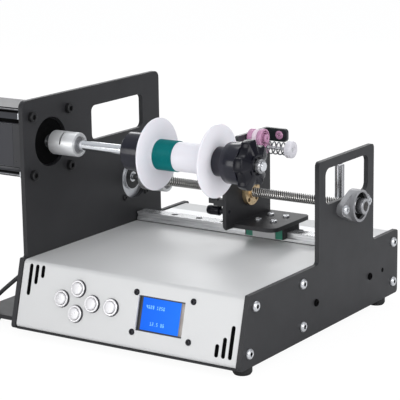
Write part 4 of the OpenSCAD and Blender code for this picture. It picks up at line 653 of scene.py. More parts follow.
def make_lights():
    for name, corner, width, height, power in LIGHTS:
        data = bpy.data.lights.new(name, "AREA")
        data.shape = "RECTANGLE"
        data.size = width * MM
        data.size_y = height * MM
        data.energy = power
        turned = (at(*LIGHT_TARGET) - at(*corner)).to_track_quat("-Z", "Y").to_matrix().to_4x4()
        in_scene(name, data).matrix_world = Matrix.Translation(at(*corner)) @ turned


# Base and plates

def make_plates():
    for name in ("left_plate", "right_plate", "outrigger_plate"):
        softened(name, "powder_black", 0.35)


def make_covers():
    softened("front_cover", "powder_silver", 0.15)
    softened("rear_cover", "powder_silver", 0.15)
    softened("deck_plate", "bare_sheet", 0.2)
    softened("bottom_plate", "powder_black", 0.15)


VENT_LENGTHS = (25.3, 15.7, 9.94)
VENT_W = 3.5
VENT_PITCH = 6
VENT_LEFT_X = 8.2
VENT_RIGHT_GAP = 6.6
VENT_LOW_V = 8.2
VENT_TOP_V = 53.97
# Depth, behind the panel's face, of the painted shade in the vent slots
SLOT_SHADE_LOW = -1.7
SLOT_SHADE_TOP = -0.35
# Left, right, lower and upper edge of the painted shade sheet behind each group of slots
SLOT_SHADE_SHEETS = ((3.5, 25.0, 24.0, 56.0), (INNER_WIDTH - 24.0, INNER_WIDTH - 2.5, 5.0, 37.0))


def make_vent_slot_shade():
    """Painted shade: near-black that fills the inner half of the slots in the front cover, with sheets behind
    them.
    """
    bm = bmesh.new()
    half = VENT_W / 2 - 0.03
    for i, long in enumerate(VENT_LENGTHS):
        for x, v in ((VENT_LEFT_X + i * VENT_PITCH, VENT_TOP_V - long),
                     (INNER_WIDTH - VENT_RIGHT_GAP - i * VENT_PITCH, VENT_LOW_V)):
            for end in (VENT_W / 2, long - VENT_W / 2):
                add_lathe(bm, [(half, SLOT_SHADE_LOW), (half, SLOT_SHADE_TOP)], on_panel(x, v + end, 0), 32)
            add_box(bm, (-half, VENT_W / 2, SLOT_SHADE_LOW), (half, long - VENT_W / 2, SLOT_SHADE_TOP), on_panel(x, v, 0))
    for x0, x1, v0, v1 in SLOT_SHADE_SHEETS:
        add_box(bm, (x0, v0, SLOT_SHADE_LOW - 0.9), (x1, v1, SLOT_SHADE_LOW + 0.1), on_panel(0, 0, 0), 0.2)
    piece(bm, "vent_slot_shade", "black_and_pit_shade", slot="foot_rubber", degrees=32)


def make_feet():
    softened("rubber_feet", "soft_black", 0.5, segments=3)


# Height of the two rows of side screws and their places along the base
SIDE_LOW_Z = 11.3
SIDE_HIGH_Z = 45.5
SIDE_MIDDLE_Y = 92
SIDE_REAR_Y = 243
SIDE_FRONT_GAP = 10
SIDE_HEAD_R = 4.2
SIDE_HEAD_H = 2.4
SIDE_SCREW_R = 2.2
SIDE_SOCKET = 1.5


def slope_y(z, behind):
    """Y at height z, a distance behind the plates' sloping front edge."""
    return (z * math.sin(PANEL_LEAN) + behind) / math.cos(PANEL_LEAN)


def on_side_plates(places):
    """Points outwards from both side plates at each (y, z)."""
    sides = ((along_x, RIGHT_FACE), (along_minus_x, -PLATE))
    return [point(x, y, z) for y, z in places for point, x in sides]


def make_side_screws():
    places = on_side_plates([(y, z) for z in (SIDE_LOW_Z, SIDE_HIGH_Z)
                             for y in (slope_y(z, SIDE_FRONT_GAP), SIDE_MIDDLE_Y, SIDE_REAR_Y)])
    rings = button_head_rings(SIDE_HEAD_R, SIDE_HEAD_H, SIDE_SOCKET)
    screws("side_screw_set", [(rings, places, 48, SIDE_SCREW_R, -PLATE - 3)], "screw_steel", "side_screws")
    # Painted shade: a near-black lining on the walls inside each hex socket, where light doesn't reach
    low, high = SIDE_HEAD_H * 0.3, SIDE_HEAD_H * 0.9
    inside, outside = hexagon(SIDE_SOCKET - 0.12), hexagon(SIDE_SOCKET)
    rings = [(inside, low), (inside, high), (outside, high), (outside, low - 0.1)]
    lathe("side_socket_shade", rings, places, "black_and_pit_shade", slot="screw_steel", segments=48, closed=False,
          degrees=28)


# Two small black screws that hold the bottom to the side plates, and a plug in the right one
BOTTOM_SCREW_PLACES = ((113, 25.3), (202, 25.3))
SMALL_PLUG = (224.6, 25.4)


def make_bottom_screws():
    bm = bmesh.new()
    for place in on_side_plates(BOTTOM_SCREW_PLACES):
        add_lathe(bm, button_head_rings(3.0, 1.5, 1.1), place, 40)
    socket = hexagon(0.8)
    rings = [(1.9, 0), (1.9, 0.12), (1.6, 0.2), (socket, 0.2), (socket, 0.05)]
    add_lathe(bm, rings, along_x(RIGHT_FACE, *SMALL_PLUG), 32)
    piece(bm, "bottom_screw_set", "black_and_pit_shade")


def make_guide_post():
    low, high = place_of("guide_post")
    r, height = (high.x - low.x) / 2, high.z - low.z
    rings = [(r / 2, 0), (r / 2, 2.9), (r * 0.94, 3.0), (r, 3.3),
             *rounded_step(r, height - 0.9, r - 0.9, height, 5), (1.9, height), (1.6, height - 0.4),
             (1.6, height - 5)]
    lathe("guide_post_rod", rings, along_z((low.x + high.x) / 2, (low.y + high.y) / 2, low.z), "dark_steel",
          "guide_post", closed=False)


# Front panel: buttons, display and its screws

BUTTON_PLACES = {"button_top": (57.2, 40.7), "button_left": (42.4, 30.8), "button_right": (72.0, 30.8),
                 "button_bottom": (57.2, 20.9), "button_far": (90.2, 30.8)}
BEZEL_R = 7
BEZEL_H = 2
CAP_R = 4.7
CAP_OUT = 1.4
CAP_GAP = 0.3


def make_buttons():
    places = [on_panel(*place, 0) for place in BUTTON_PLACES.values()]
    bore, r, high = CAP_R + CAP_GAP, BEZEL_R, BEZEL_H
    rings = [(bore, -6), (bore, high - 0.25), (bore + 0.25, high), (r - 0.75, high), (r - 0.45, high - 0.2),
             (r - 0.05, 0.3), (r, 0.02), (r - 1.3, 0.02), (r - 1.3, -14), (2, -14), (2, -6)]
    lathe("button_bezel_set", rings, places, "bezel_steel", "button_bezels", segments=72, degrees=20)
    rings = [(CAP_R + 0.02, high - 0.9), (bore - 0.01, high - 0.9), (bore - 0.01, high - 0.8),
             (CAP_R + 0.02, high - 0.8)]
    lathe("button_gap_rings", rings, places, "bezel_grey", slot="black_screws", segments=48, degrees=35)
    # Painted dark reflection: a dark ring over each bezel's outer flank
    rings = [(r - 0.6, high - 0.3), (r - 0.42, high - 0.22), (r + 0.08, 0.25), (r + 0.1, 0.01),
             (r - 0.3, 0.01)]
    lathe("button_flank_shade_rings", rings, places, "bezel_flank_shade", segments=72, degrees=35)
    top = high + CAP_OUT
    rings = [(CAP_R, high - 4.6), *rounded_step(CAP_R, top - 0.75, CAP_R - 0.75, top - 0.12, 6),
             (CAP_R * 0.6, top - 0.02), (CAP_R * 0.25, top)]
    for name, place in zip(BUTTON_PLACES, places):
        lathe(name + "_cap", rings, place, "button_face", name, body=name, segments=72, closed=False)


DISPLAY_X = 135.7
DISPLAY_V = 30.6
DISPLAY_W = 42.6
DISPLAY_H = 27.2
SCREEN_DEPTH = 2.15
LEFT_STRIP = 3.0
RIGHT_STRIP = 4.4
EDGE_STRIP = 1.12
RIM_GAP = 1.05
DISPLAY_SCREW_PLACES = [(x, v) for x in (112.0, 164.0) for v in (15.3, 46.0)]
DIGIT_ROWS = {
    "0": "111 101 101 101 101 101 111", "1": "010 110 010 010 010 010 111",
    "2": "111 001 001 111 100 100 111", "4": "101 101 101 111 001 001 001",
    "5": "111 100 100 111 001 001 111", "6": "111 100 100 111 101 101 111",
    "8": "111 101 101 111 101 101 111", ".": "000 000 000 000 000 000 010", " ": "000"}
DOT = 0.34
DOT_PITCH = DOT * 1.1
DIGIT_STEP = 1.95
READINGS = (("4608 1250", -14.6, 6.6), ("12.5 06", -9.6, -6.0))


def digit_boxes():
    """One flat box for each lit dot of the readings."""
    made = []
    for text, x, y in READINGS:
        for i, letter in enumerate(text):
            for row, dots in enumerate(DIGIT_ROWS[letter].split()):
                for column, lit in enumerate(dots):
                    if lit == "1":
                        u, v = x + i * DIGIT_STEP + column * DOT_PITCH, y - row * DOT_PITCH
                        made.append(((u, v, 0.0), (u + DOT, v + DOT, 0.04)))
    return made


def make_display():
    softened("display_frame", "plastic_black", 0.2)
    half_w, half_h = DISPLAY_W / 2, DISPLAY_H / 2
    face = on_panel(DISPLAY_X, DISPLAY_V, -SCREEN_DEPTH)
    left, right = -half_w + LEFT_STRIP, half_w - RIGHT_STRIP
    bottom, top = -half_h + EDGE_STRIP, half_h - EDGE_STRIP
    boxes("display_screen", [((left, bottom, -0.3), (right, top, 0.0))], face, "screen_blue", "display_glass",
          bevel=0.05)
    boxes("display_digits", digit_boxes(), face, "screen_light")
    low, high = (-half_w + RIM_GAP, -half_h + RIM_GAP), (half_w - RIM_GAP, half_h - RIM_GAP)
    strips = [(low, (left, high[1])), (low, (high[0], bottom)), ((low[0], top), high)]
    boxes("display_rim", [((*a, -0.3), (*b, 0.15)) for a, b in strips], face, "plastic_black", bevel=0.05)
    boxes("display_bezel", [((right, low[1], -0.3), (*high, 0.25))], face, "bezel_grey", bevel=0.1)
    places = [on_panel(*place, 0) for place in DISPLAY_SCREW_PLACES]
    lathe("display_screw_set", button_head_rings(2.5, 1.1, 0.9), places, "knob_black", slot="black_screws",
          segments=40, closed=False, degrees=28)


# Motors

# The motor's corners are hollowed: a wall beside the flat, a slope and a shelf. Painted shade bands and
# painted highlight bands lie on them, dark where the corner falls in shade and light where it catches light;
# each is given as (distance from the flat or along the slope, width)
MOTOR_HALF = 28.2
MOTOR_FLAT = 17.25
MOTOR_STEP = 4.6
WALL_SHADE_BANDS = ((0.1, 0.6), (2.3, 1.9))
WALL_HIGHLIGHT_BANDS = ((0.95, 0.7),)
SLOPE_SHADE_BAND = (1.0, 3.6)
SHELF_HIGHLIGHT_BAND = 1.1
BAND_T = 0.06
MAIN_BOLT = 47.14
MAIN_FLANGE = 4.8
SMALL_BOLT = 31


def make_motor_bands():
    """Painted shade and painted highlights: dark and light bands in the motor's hollowed corners."""
    x0, x1 = place_of("main_motor_bells")[0].x + 0.4, -PLATE - MAIN_FLANGE - 0.1
    slope = (MOTOR_HALF - MOTOR_STEP + MOTOR_FLAT) / 2
    shade_bands, highlight_bands = bmesh.new(), bmesh.new()
    for sy, sz in ((-1, -1), (-1, 1), (1, -1), (1, 1)):
        corner = Matrix.Translation(at(0, SPINDLE_Y, SPINDLE_Z)) @ Matrix.Diagonal((1, sy, sz, 1))
        for bm, bands in ((shade_bands, WALL_SHADE_BANDS), (highlight_bands, WALL_HIGHLIGHT_BANDS)):
            for down, wide in bands:
                add_box(bm, (x0, MOTOR_FLAT, MOTOR_HALF - down - wide),
                        (x1, MOTOR_FLAT + BAND_T, MOTOR_HALF - down), corner)
        on_slope = corner @ Matrix.Translation(Vector((0, slope, slope)) * MM)
        tilted = on_slope @ Matrix.Rotation(math.pi / 4, 4, "X")
        add_box(shade_bands, (x0, -BAND_T, -sum(SLOPE_SHADE_BAND)), (x1, BAND_T, -SLOPE_SHADE_BAND[0]), tilted)
        add_box(highlight_bands, (x0, MOTOR_HALF - SHELF_HIGHLIGHT_BAND, MOTOR_FLAT),
                (x1, MOTOR_HALF - 0.1, MOTOR_FLAT + BAND_T), corner)
    piece(shade_bands, "motor_shade_bands", "black_and_pit_shade", slot="stack_black")
    piece(highlight_bands, "motor_highlight_bands", "motor_highlight_grey")


def make_main_motor():
    softened("main_motor_bells", "motor_black", 0.4)
    softened("main_motor_stack", "stack_black", 0.3)
    make_motor_bands()
    rings = [(5.2, 0.02), (18.7, 0.02), (18.7, 0.1), (12.2, 0.1), (11.8, 0.35), (5.2, 0.35)]
    lathe("motor_face_shade", rings, on_spindle(place_of("main_motor_bells")[1].x), "black_and_pit_shade",
          slot="motor_black", segments=96)


def square_places(x, y, z, side):
    return [along_x(x, y + sy * side / 2, z + sz * side / 2) for sy in (-1, 1) for sz in (-1, 1)]


def make_motor_screws():
    main = square_places(0, SPINDLE_Y, SPINDLE_Z, MAIN_BOLT)
    small = square_places(0, LEAD_Y, LEAD_Z, SMALL_BOLT)
    screws("motor_screw_set", [(cap_head_rings(4.1, 3.6, 1.9), main, 48, 2.4, -PLATE - MAIN_FLANGE),
                               (button_head_rings(2.7, 1.5, 0.95), small, 40, 1.5, -PLATE - 4)],
           "oxide_black", "motor_screws")
    nut = hexagon(3.85)
    lathe("motor_nut_set", [(3.5, -2.4), (nut, -2.1), (nut, -0.25), (3.6, 0)],
          square_places(-PLATE - MAIN_FLANGE, SPINDLE_Y, SPINDLE_Z, MAIN_BOLT), "screw_steel", segments=48,
          closed=False, degrees=28)


def make_traverse_motor():
    softened("traverse_motor_bells", "motor_silver", 0.35)
    softened("traverse_motor_stack", "stack_black", 0.3)
    softened("traverse_shaft", "dark_steel", 0.2, body="lead_screw")
    rings = [(3.2, 0), (10.9, 0), (11.0, 0.3), (11.0, 1.6), (10.4, 2.1), (4.6, 2.1), (3.2, 1.0)]
    lathe("traverse_motor_pilot", rings, on_lead(-PLATE), "oxide_black")


# Bearing of the lead screw on the right plate

BEARING_BOLTS = 37
BEARING_FLANGE = 4.8
SHIELD_OUT = 6.5


def make_bearing():
    softened("flange_bearing", "cast_alu", 0.5, segments=3)
    places = [along_x(RIGHT_FACE + BEARING_FLANGE, LEAD_Y + side * BEARING_BOLTS / 2, LEAD_Z)
              for side in (-1, 1)]
    screws("bearing_bolt_set", [(button_head_rings(4.0, 2.6, 1.4), places, 48, 2.1, -PLATE - BEARING_FLANGE)],
           "screw_steel", "bearing_bolts")
    left, right, _, _, r = round_part("bearing_insert")
    long, bore = right - left, SHAFT_BORE
    rings = [(bore, 0), (bore, long), (bore + 0.4, long), *rounded_step(r - 0.5, long, r, long - 0.5, 4),
             (r, long - 4.2), (r * 0.93, long - 4.6), (r * 0.93, long - 6.5), (r, long - 6.9), (r, 0)]
    lathe("bearing_inner_ring", rings, on_lead(left), "dark_steel", "bearing_insert", body="lead_screw",
          slot="rail_steel")
    rings = [(6.9, 0), (6.9, 0.5), (8.6, 0.9), (10.2, 0.5), (10.9, 0.2), (10.9, 0)]
    lathe("bearing_shield", rings, on_lead(RIGHT_FACE + SHIELD_OUT), "black_and_pit_shade")


# Rail, carriage and lead screw

RAIL_FIRST_HOLE = 11.7
RAIL_PITCH = 25
RAIL_HOLES = 9
RAIL_SINK = 4.4
RAIL_END_GAP = 4
SEAL_T = 1.0
SEAL_INNER = 6.3
CAP_SCREW_Y = 9.8
CAP_SCREW_Z = 4.8
BLOCK_BOLT_X = 15
BLOCK_BOLT_Y = 20
BRACKET_SCREW_R = 1.5


def make_rail():
    softened("guide_rail", "rail_steel", 0.2)
    low, high = place_of("guide_rail")
    holes = [RAIL_FIRST_HOLE + i * RAIL_PITCH for i in range(RAIL_HOLES)]
    places = [along_z(x, (low.y + high.y) / 2, high.z - RAIL_SINK)
              for x in holes if x < high.x - RAIL_END_GAP]
    lathe("rail_screw_set", cap_head_rings(2.9, 2.8, 1.3), places, "black_and_pit_shade", segments=40, closed=False,
          degrees=28)
    # Painted shade: a thin black strip along the rail's front foot, for the dark gap between the front cover
    # and the deck
    boxes("rail_foot_shade_line", [((low.x, low.y - 0.14, low.z), (high.x, low.y - 0.01, low.z + 0.5))],
          along_z(0, 0, 0), "black_and_pit_shade", degrees=28)


def make_block():
    softened("guide_block", "block_steel", 0.3, body="carriage")
    softened("block_caps", "cap_green", 0.3, body="carriage")
    low, high = place_of("block_caps")
    mid = (low.y + high.y) / 2
    places = [point(x, mid + side * CAP_SCREW_Y, low.z + CAP_SCREW_Z)
              for x, point in ((low.x, along_minus_x), (high.x, along_x)) for side in (-1, 1)]
    lathe("block_cap_screws", button_head_rings(1.25, 0.55, 0.5), places, "oxide_black", body="carriage",
          segments=24, closed=False, degrees=28)
    seals = []
    for x0, x1 in ((low.x - SEAL_T, low.x), (high.x, high.x + SEAL_T)):
        for y0, y1, z0 in ((low.y + 0.1, mid - SEAL_INNER, low.z + 0.1),
                           (mid + SEAL_INNER, high.y - 0.1, low.z + 0.1),
                           (mid - SEAL_INNER - 0.5, mid + SEAL_INNER + 0.5, high.z - 4.4)):
            seals.append(((x0, y0, z0), (x1, y1, high.z)))
    boxes("block_end_seals", seals, along_z(0, 0, 0), "soft_black", body="carriage", bevel=0.15, degrees=28)


def make_bracket():
    softened("carriage_bracket", "powder_black", 0.45, body="carriage", segments=3)
    low, high = place_of("bracket_screws")
    x, y, r = (low.x + high.x) / 2, (low.y + high.y) / 2, BRACKET_SCREW_R
    top = high.z - 1.1 * r
    places = [along_z(x + sx * BLOCK_BOLT_X / 2, y + sy * BLOCK_BOLT_Y / 2, top)
              for sx in (-1, 1) for sy in (-1, 1)]
    screws("bracket_screw_set", [(cap_head_rings(1.9 * r, 1.1 * r, 1.25), places, 40, r, low.z - top)],
           "screw_steel", "bracket_screws", body="carriage")
    softened("travel_bumper", "soft_black", 0.15, body="carriage")
    softened("wire_block", "plastic_black", 0.3, body="carriage", slot="black_screws")


def make_lead_nut():
    softened("lead_nut", "brass", 0.25, body="carriage")


LEAD_PITCH = 2
LEAD_STARTS = 4
LEAD_DEPTH = 1.0
LEAD_ROOT = 12
LEAD_PLAIN = 3


def make_lead_screw():
    plain_from = INNER_WIDTH - LEAD_PLAIN
    plain, r = LEAD_RIGHT - plain_from, LEAD_R
    thread("lead_screw_thread", r, LEAD_DEPTH, LEAD_PITCH, LEAD_STARTS, LEAD_LEFT + LEAD_ROOT, plain_from,
           LEAD_Y, LEAD_Z, "thread_steel", "lead_screw", body="lead_screw", segments=40, per_pitch=12,
           degrees=34)
    rings = [(r - 0.9, 0), (r, 0.4), *rounded_step(r, plain - 0.5, r - 0.6, plain, 4)]
    lathe("lead_screw_end", rings, on_lead(plain_from), "thread_steel", body="lead_screw", segments=48,
          closed=False)
    lathe("lead_screw_root", [(r, 0), (r, LEAD_ROOT + 0.1)], on_lead(LEAD_LEFT), "thread_steel",
          body="lead_screw", segments=48, closed=False)


COUPLING_SCREW_SHARES = (0.2, 0.8)
COUPLING_GAP = 0.03
COUPLING_BORE = 4.03
# The slit's start and end, in degrees round the coupling
SLIT_FROM = 135
SLIT_TO = 266


def slit_coupling(name, y, z, left_shaft, slit, surface_name, body):
    """Turned coupling with a slit over its front and top and a recess in its right end.

    left_shaft is the node in its left end. slit is (share of the length, width) or None."""
    left, right, _, _, r = round_part(name)
    long = right - left
    bores = (round_part(left_shaft)[4] + COUPLING_GAP, COUPLING_BORE)
    rings = [(bores[0], 0.9), (bores[0] + 1.4, 0.9), (bores[0] + 1.7, 0), (r - 0.8, 0), (r - 0.25, 0.2),
             (r, 0.75)]
    if slit:
        start, wide = slit[0] * long, slit[1]

        def cut(angle):
            # Along X the local angle zero lies at -Z and a quarter turn at the rear
            return r - 3.0 if SLIT_FROM < math.degrees(angle) < SLIT_TO else r

        rings += [(r, start), (cut, start + 0.01), (cut, start + wide), (r, start + wide + 0.01)]
        shade = [(r - 4.0, 0), (r - 1.3, 0), (r - 1.3, wide - 0.04), (r - 4.0, wide - 0.04)]
    rings += [(r, long - 0.75), (r - 0.25, long - 0.2), (r - 0.8, long), (r - 2.4, long),
              (r - 2.7, long - 0.2), (r - 3.0, long - 2.0), (bores[1], long - 2.4), (bores[1], long / 2),
              (bores[0], long / 2)]
    lathe(name + "_body", rings, along_x(left, y, z), surface_name, name, body=body, segments=96, degrees=25)
    # Painted shade: a darker grey disc on the floor of the recess in the right end
    rings = [(bores[1] + 0.05, long - 2.35), (r - 3.05, long - 1.95), (r - 3.05, long - 1.7),
             (bores[1] + 0.05, long - 2.1)]
    lathe(name + "_recess_shade", rings, along_x(left, y, z), "cast_alu", body=body, slot="coupling_alu")
    # Painted shade: a near-black ring inside the slit, where light doesn't reach
    if slit:
        lathe(name + "_slit_shade", shade, along_x(left + start + 0.03, y, z), "black_and_pit_shade", body=body)
    upside_down = Matrix.Rotation(math.pi, 4, "X") @ Matrix.Translation(Vector((0, 0, r - 0.9)) * MM)
    places = [along_z(left + share * long, y, z) @ upside_down for share in COUPLING_SCREW_SHARES]
    socket = hexagon(0.7)
    rings = [(1.3, -1.0), (1.3, 0), (0.9, 0.02), (socket, -0.1), (socket, -0.9)]
    lathe(name + "_set_screws", rings, places, "oxide_black", body=body, segments=30, closed=False,
          degrees=28)


def make_lead_coupling():
    slit_coupling("lead_coupling", LEAD_Y, LEAD_Z, "traverse_shaft", None, "satin_alu_lead", "lead_screw")


# Tensioner

def make_pulley():
    left, right, y, z, r = round_part("guide_pulley")
    bore, width = 2.08, right - left
    third = width / 3
    place = along_x(left, y, z)
    rings = [(bore, 0), (r - 1.6, 0), *rounded_step(r - 1.0, 0.2, r - 0.8, 0.9, 3)[1:],
             (r - 0.8, third - 0.9), (r - 1.1, third - 0.3), (r - 1.6, third), (bore, third)]
    lathe("pulley_left_ring", rings, place, "ceramic_pink", "guide_pulley", body="guide_pulley", segments=72)
    rings = [(bore, third), (r - 1.7, third), (r - 1.2, third + 0.5), (r - 1.1, 1.5 * third),
             (r - 1.2, 2 * third - 0.5), (r - 1.7, 2 * third), (bore, 2 * third)]
    lathe("pulley_felt", rings, place, "felt_white", body="guide_pulley", segments=72)
    rings = [(bore, 2 * third), (r - 1.6, 2 * third), (r - 0.7, 2 * third + 0.3), (r - 0.1, 2 * third + 1.0),
             (r, 2 * third + 1.6), *rounded_step(r, width - 0.8, r - 0.9, width, 5), (r - 1.4, width - 0.1),
             (r - 1.8, width - 1.1), (r - 2.3, width - 1.2), (r - 2.5, width - 0.4), (r - 3.0, width - 0.4),
             (r - 3.3, width - 1.4), (3.7, width - 1.5), (3.5, width - 0.4), (bore, width - 0.4)]
    lathe("pulley_right_ring", rings, place, "ceramic_pink", body="guide_pulley", segments=72)
    # Painted shade: dark pink rings on the floors of the two grooves in the pulley's face
    bm = bmesh.new()
    for inner, outer, height in ((r - 2.35, r - 1.72, width - 1.12), (3.62, r - 3.2, width - 1.42)):
        low, high = height - 0.1, height + 0.12
        add_lathe(bm, [(inner, low), (outer, low), (outer, high), (inner, high)], place, 64, closed=True)
    piece(bm, "pulley_groove_shade", "ceramic_shade", body="guide_pulley", degrees=32)
    rings = [(0.9, 0.2), (3.0, 0.2), (3.45, 0.6), (3.45, 1.9), (3.0, 2.3), (2.2, 2.3), (2.0, 1.9), (1.4, 1.9),
             (0.9, 2.2)]
    lathe("pulley_axle_cap", [(a, width + b) for a, b in rings], place, "ceramic_pink", body="carriage",
          segments=48)


def make_eyelet():
    low, high = place_of("guide_eyelet")
    r, long = (high.x - low.x) / 2, high.y - low.y
    hole, lip = 1.4, 0.8
    rings = [(hole, long), (hole, lip), (hole + 0.12, 0.35), (hole + 0.45, 0.05), (r - 0.8, 0),
             (r - 0.3, 0.2), (r, 0.5), (r, lip), (r - lip, lip), (r - lip, long)]
    lathe("eyelet_ring", rings, along_y((low.x + high.x) / 2, low.y, (low.z + high.z) / 2), "ceramic_pink",
          "guide_eyelet", body="carriage")


TENSION_CURLS = 4
TENSION_COIL_R = 4.9
TENSION_WIRE = 1.15
STEPS_PER_CURL = 40
DISC_PITCH = 1.2


def make_tension_spring(y, z):
    left, right = round_part("tension_spring")[:2]
    gap = TENSION_WIRE / 2 + 0.05
    x0, x1, count = left + gap, right - gap, TENSION_CURLS * STEPS_PER_CURL
    points = []
    for i in range(count + 1):
        angle = TURN * i / STEPS_PER_CURL
        points.append(at(x0 + (x1 - x0) * i / count, y + TENSION_COIL_R * math.cos(angle),
                         z + TENSION_COIL_R * math.sin(angle)))
    sweep("tension_spring_coil", points, TENSION_WIRE / 2 * MM, 12, "spring_steel", "tension_spring",
          body="carriage")


def make_thumb_nut(y, z):
    left, right, _, _, r = round_part("thumb_nut")
    t = right - left

    def knurled(radius):
        return lambda angle: radius - 0.22 * max(0.0, math.cos(angle * 36)) ** 2

    rings = [(1.58, 0.3), (1.9, 0), (r * 0.62, 0), (knurled(r - 0.7), 0.15), (knurled(r), 0.9),
             (knurled(r), t - 1.3), (knurled(r - 0.25), t - 0.6), (r - 1.0, t - 0.12), (r - 1.6, t),
             (r * 0.5, t), (r * 0.42, t - 0.5), (2.3, t - 0.9), (1.58, t - 0.9)]
    lathe("thumb_nut_wheel", rings, along_x(left, y, z), "nylon_white", "thumb_nut", body="thumb_nut",
          segments=288, degrees=40)


def make_tensioner():
    softened("tensioner_arm", "arm_black", 0.3, body="carriage")
    make_pulley()
    left, right, y, z, _ = round_part("tension_screw")
    disc_x, _, _, _, disc_r = round_part("tension_discs")
    thread("tension_screw_thread", 1.5, 0.28, 0.7, 1, disc_x, right, y, z, "screw_steel", "tension_screw",
           body="carriage", slot="spring_steel", segments=24, per_pitch=8, degrees=50)
    reach = disc_x - left
    lathe("tension_collar", [(2.6, 0), (3.0, 0.4), (3.0, reach - 3.6), (2.6, reach - 3.2)],
          along_x(left + 3.1, y, z), "spring_steel", body="carriage", segments=48, closed=False)
    rings = [(1.55, 0), (disc_r - 0.5, 0), (disc_r - 0.05, 0.25), (disc_r, 0.6), (disc_r - 0.35, 1.05),
             (disc_r - 1.2, 1.1), (1.55, 1.1)]
    for i, nodes in enumerate((["tension_discs"], [])):
        lathe("pressure_disc_%d" % (i + 1), rings, along_x(disc_x + i * DISC_PITCH, y, z), "ceramic_pink",
              *nodes, body="carriage")
    make_tension_spring(y, z)
    make_thumb_nut(y, z)
    make_eyelet()


def make_clamp_knob():
    softened("clamp_knob", "knob_black", 0.12, body="clamp_knob")


# Spindle

HUB_NECK = 11.4
BOBBIN_BORE = 8.1
FLANGE_T = 1.8
THREAD_D = 0.32
WINDING_R = 12.0
WINDING_SEGMENTS = 72
RINGS_PER_TURN = 6


def make_spindle():
    slit_coupling("spindle_coupling", SPINDLE_Y, SPINDLE_Z, "motor_shaft", (0.455, 1.5), "satin_alu",
                  "spindle")
    softened("motor_shaft", "polished_steel", 0.2, body="spindle")
    softened("spindle_shaft", "polished_steel", 0.15, body="spindle")
    bobbin_left, bobbin_right = round_part("bobbin")[:2]
    left, right, _, _, r = round_part("left_hub")
    body, nose, bore = bobbin_left - left, right - left, SHAFT_BORE
    rings = [(bore, 0), (bore + 0.5, 0), (r - 1.2, 0), (r, 1.2), (r, body - 1.2),
             *rounded_step(r, body - 1.2, r - 1.2, body, 5)[1:], (8.0, body), (6.0, nose), (bore, nose)]
    lathe("left_hub_body", rings, on_spindle(left), "hub_black", "left_hub", body="spindle", segments=96)
    left, right, _, _, r = round_part("right_hub")
    start, whole = bobbin_right - left, right - left
    step = start + 10
    rings = [(bore, 0), (6.0, 0), (8.0, start), (HUB_NECK - 0.6, start), (HUB_NECK, start + 0.6),
             (HUB_NECK, step), (r - 1.0, step), (r - 0.3, step + 0.3), (r, step + 1.0),
             *rounded_step(r, whole - 1.0, r - 1.0, whole, 5), (bore, whole)]
    lathe("right_hub_body", rings, on_spindle(left), "hub_black", "right_hub", body="spindle", segments=96)


def make_bobbin():
    left, right, _, _, r = round_part("bobbin")
    core, t, long = HUB_NECK, FLANGE_T, right - left
    half = [(BOBBIN_BORE, 0), (r - 0.9, 0), (r - 0.25, 0.25), (r, t / 2), (r - 0.25, t - 0.25), (r - 0.9, t),
            (core + 1.2, t), (core + 0.35, t + 0.35), (core, t + 1.2)]
    rings = half + [(radius, long - x) for radius, x in reversed(half)]
    lathe("bobbin_body", rings, on_spindle(left), "bobbin_white", "bobbin", body="spindle", segments=128,
          degrees=40)


def make_winding():
    """Fine thread in close turns: a sleeve's radius rises and falls once a turn and climbs along it."""
    left, right = round_part("winding")[:2]
    x0, x1 = left + 0.3, right - 0.3
    count = int((x1 - x0) / THREAD_D) * RINGS_PER_TURN
    bm = bmesh.new()
    loops = []
    for i in range(count + 1):
        radii = []
        for k in range(WINDING_SEGMENTS):
            phase = (i / RINGS_PER_TURN - k / WINDING_SEGMENTS) % 1.0
            radii.append(WINDING_R - THREAD_D / 2 * (1 - math.sin(math.pi * phase)) * 0.9)
        loops.append(rod_ring(bm, x0 + (x1 - x0) * i / count, SPINDLE_Y, SPINDLE_Z, radii))
    ends = [rod_ring(bm, x, SPINDLE_Y, SPINDLE_Z, [HUB_NECK + 0.02] * WINDING_SEGMENTS)
            for x in (x0 - 0.05, x1 + 0.05)]
    skin(bm, [ends[0], *loops, ends[1]], closed=True)
    piece(bm, "winding_turns", "thread_teal", "winding", body="spindle", degrees=60)


STAR_LOBES = 5
STAR_R = 19.3
STAR_TURN = math.radians(8)
STAR_HOLLOW_R = 9
STAR_HOLLOW_DEPTH = 4.4
STAR_BLEND = 1.6
STAR_RIM_T = 7.5


def star_radius(angle, shrink):
    """Outer radius of the star knob at an angle: a round rim with round hollows between the lobes."""
    centre = STAR_R - STAR_HOLLOW_DEPTH + STAR_HOLLOW_R
    hollow = STAR_HOLLOW_R + shrink
    step = TURN / STAR_LOBES
    away = (angle + step / 2) % step - step / 2
    rim = STAR_R - shrink
    across = centre * math.sin(away)
    if abs(across) >= hollow:
        return rim
    inner = centre * math.cos(away) - math.sqrt(hollow * hollow - across * across)
    gap = rim - inner
    if gap <= -STAR_BLEND:
        return rim
    if gap >= STAR_BLEND:
        return inner
    share = (gap + STAR_BLEND) / (2 * STAR_BLEND)
    return rim - STAR_BLEND * share * share


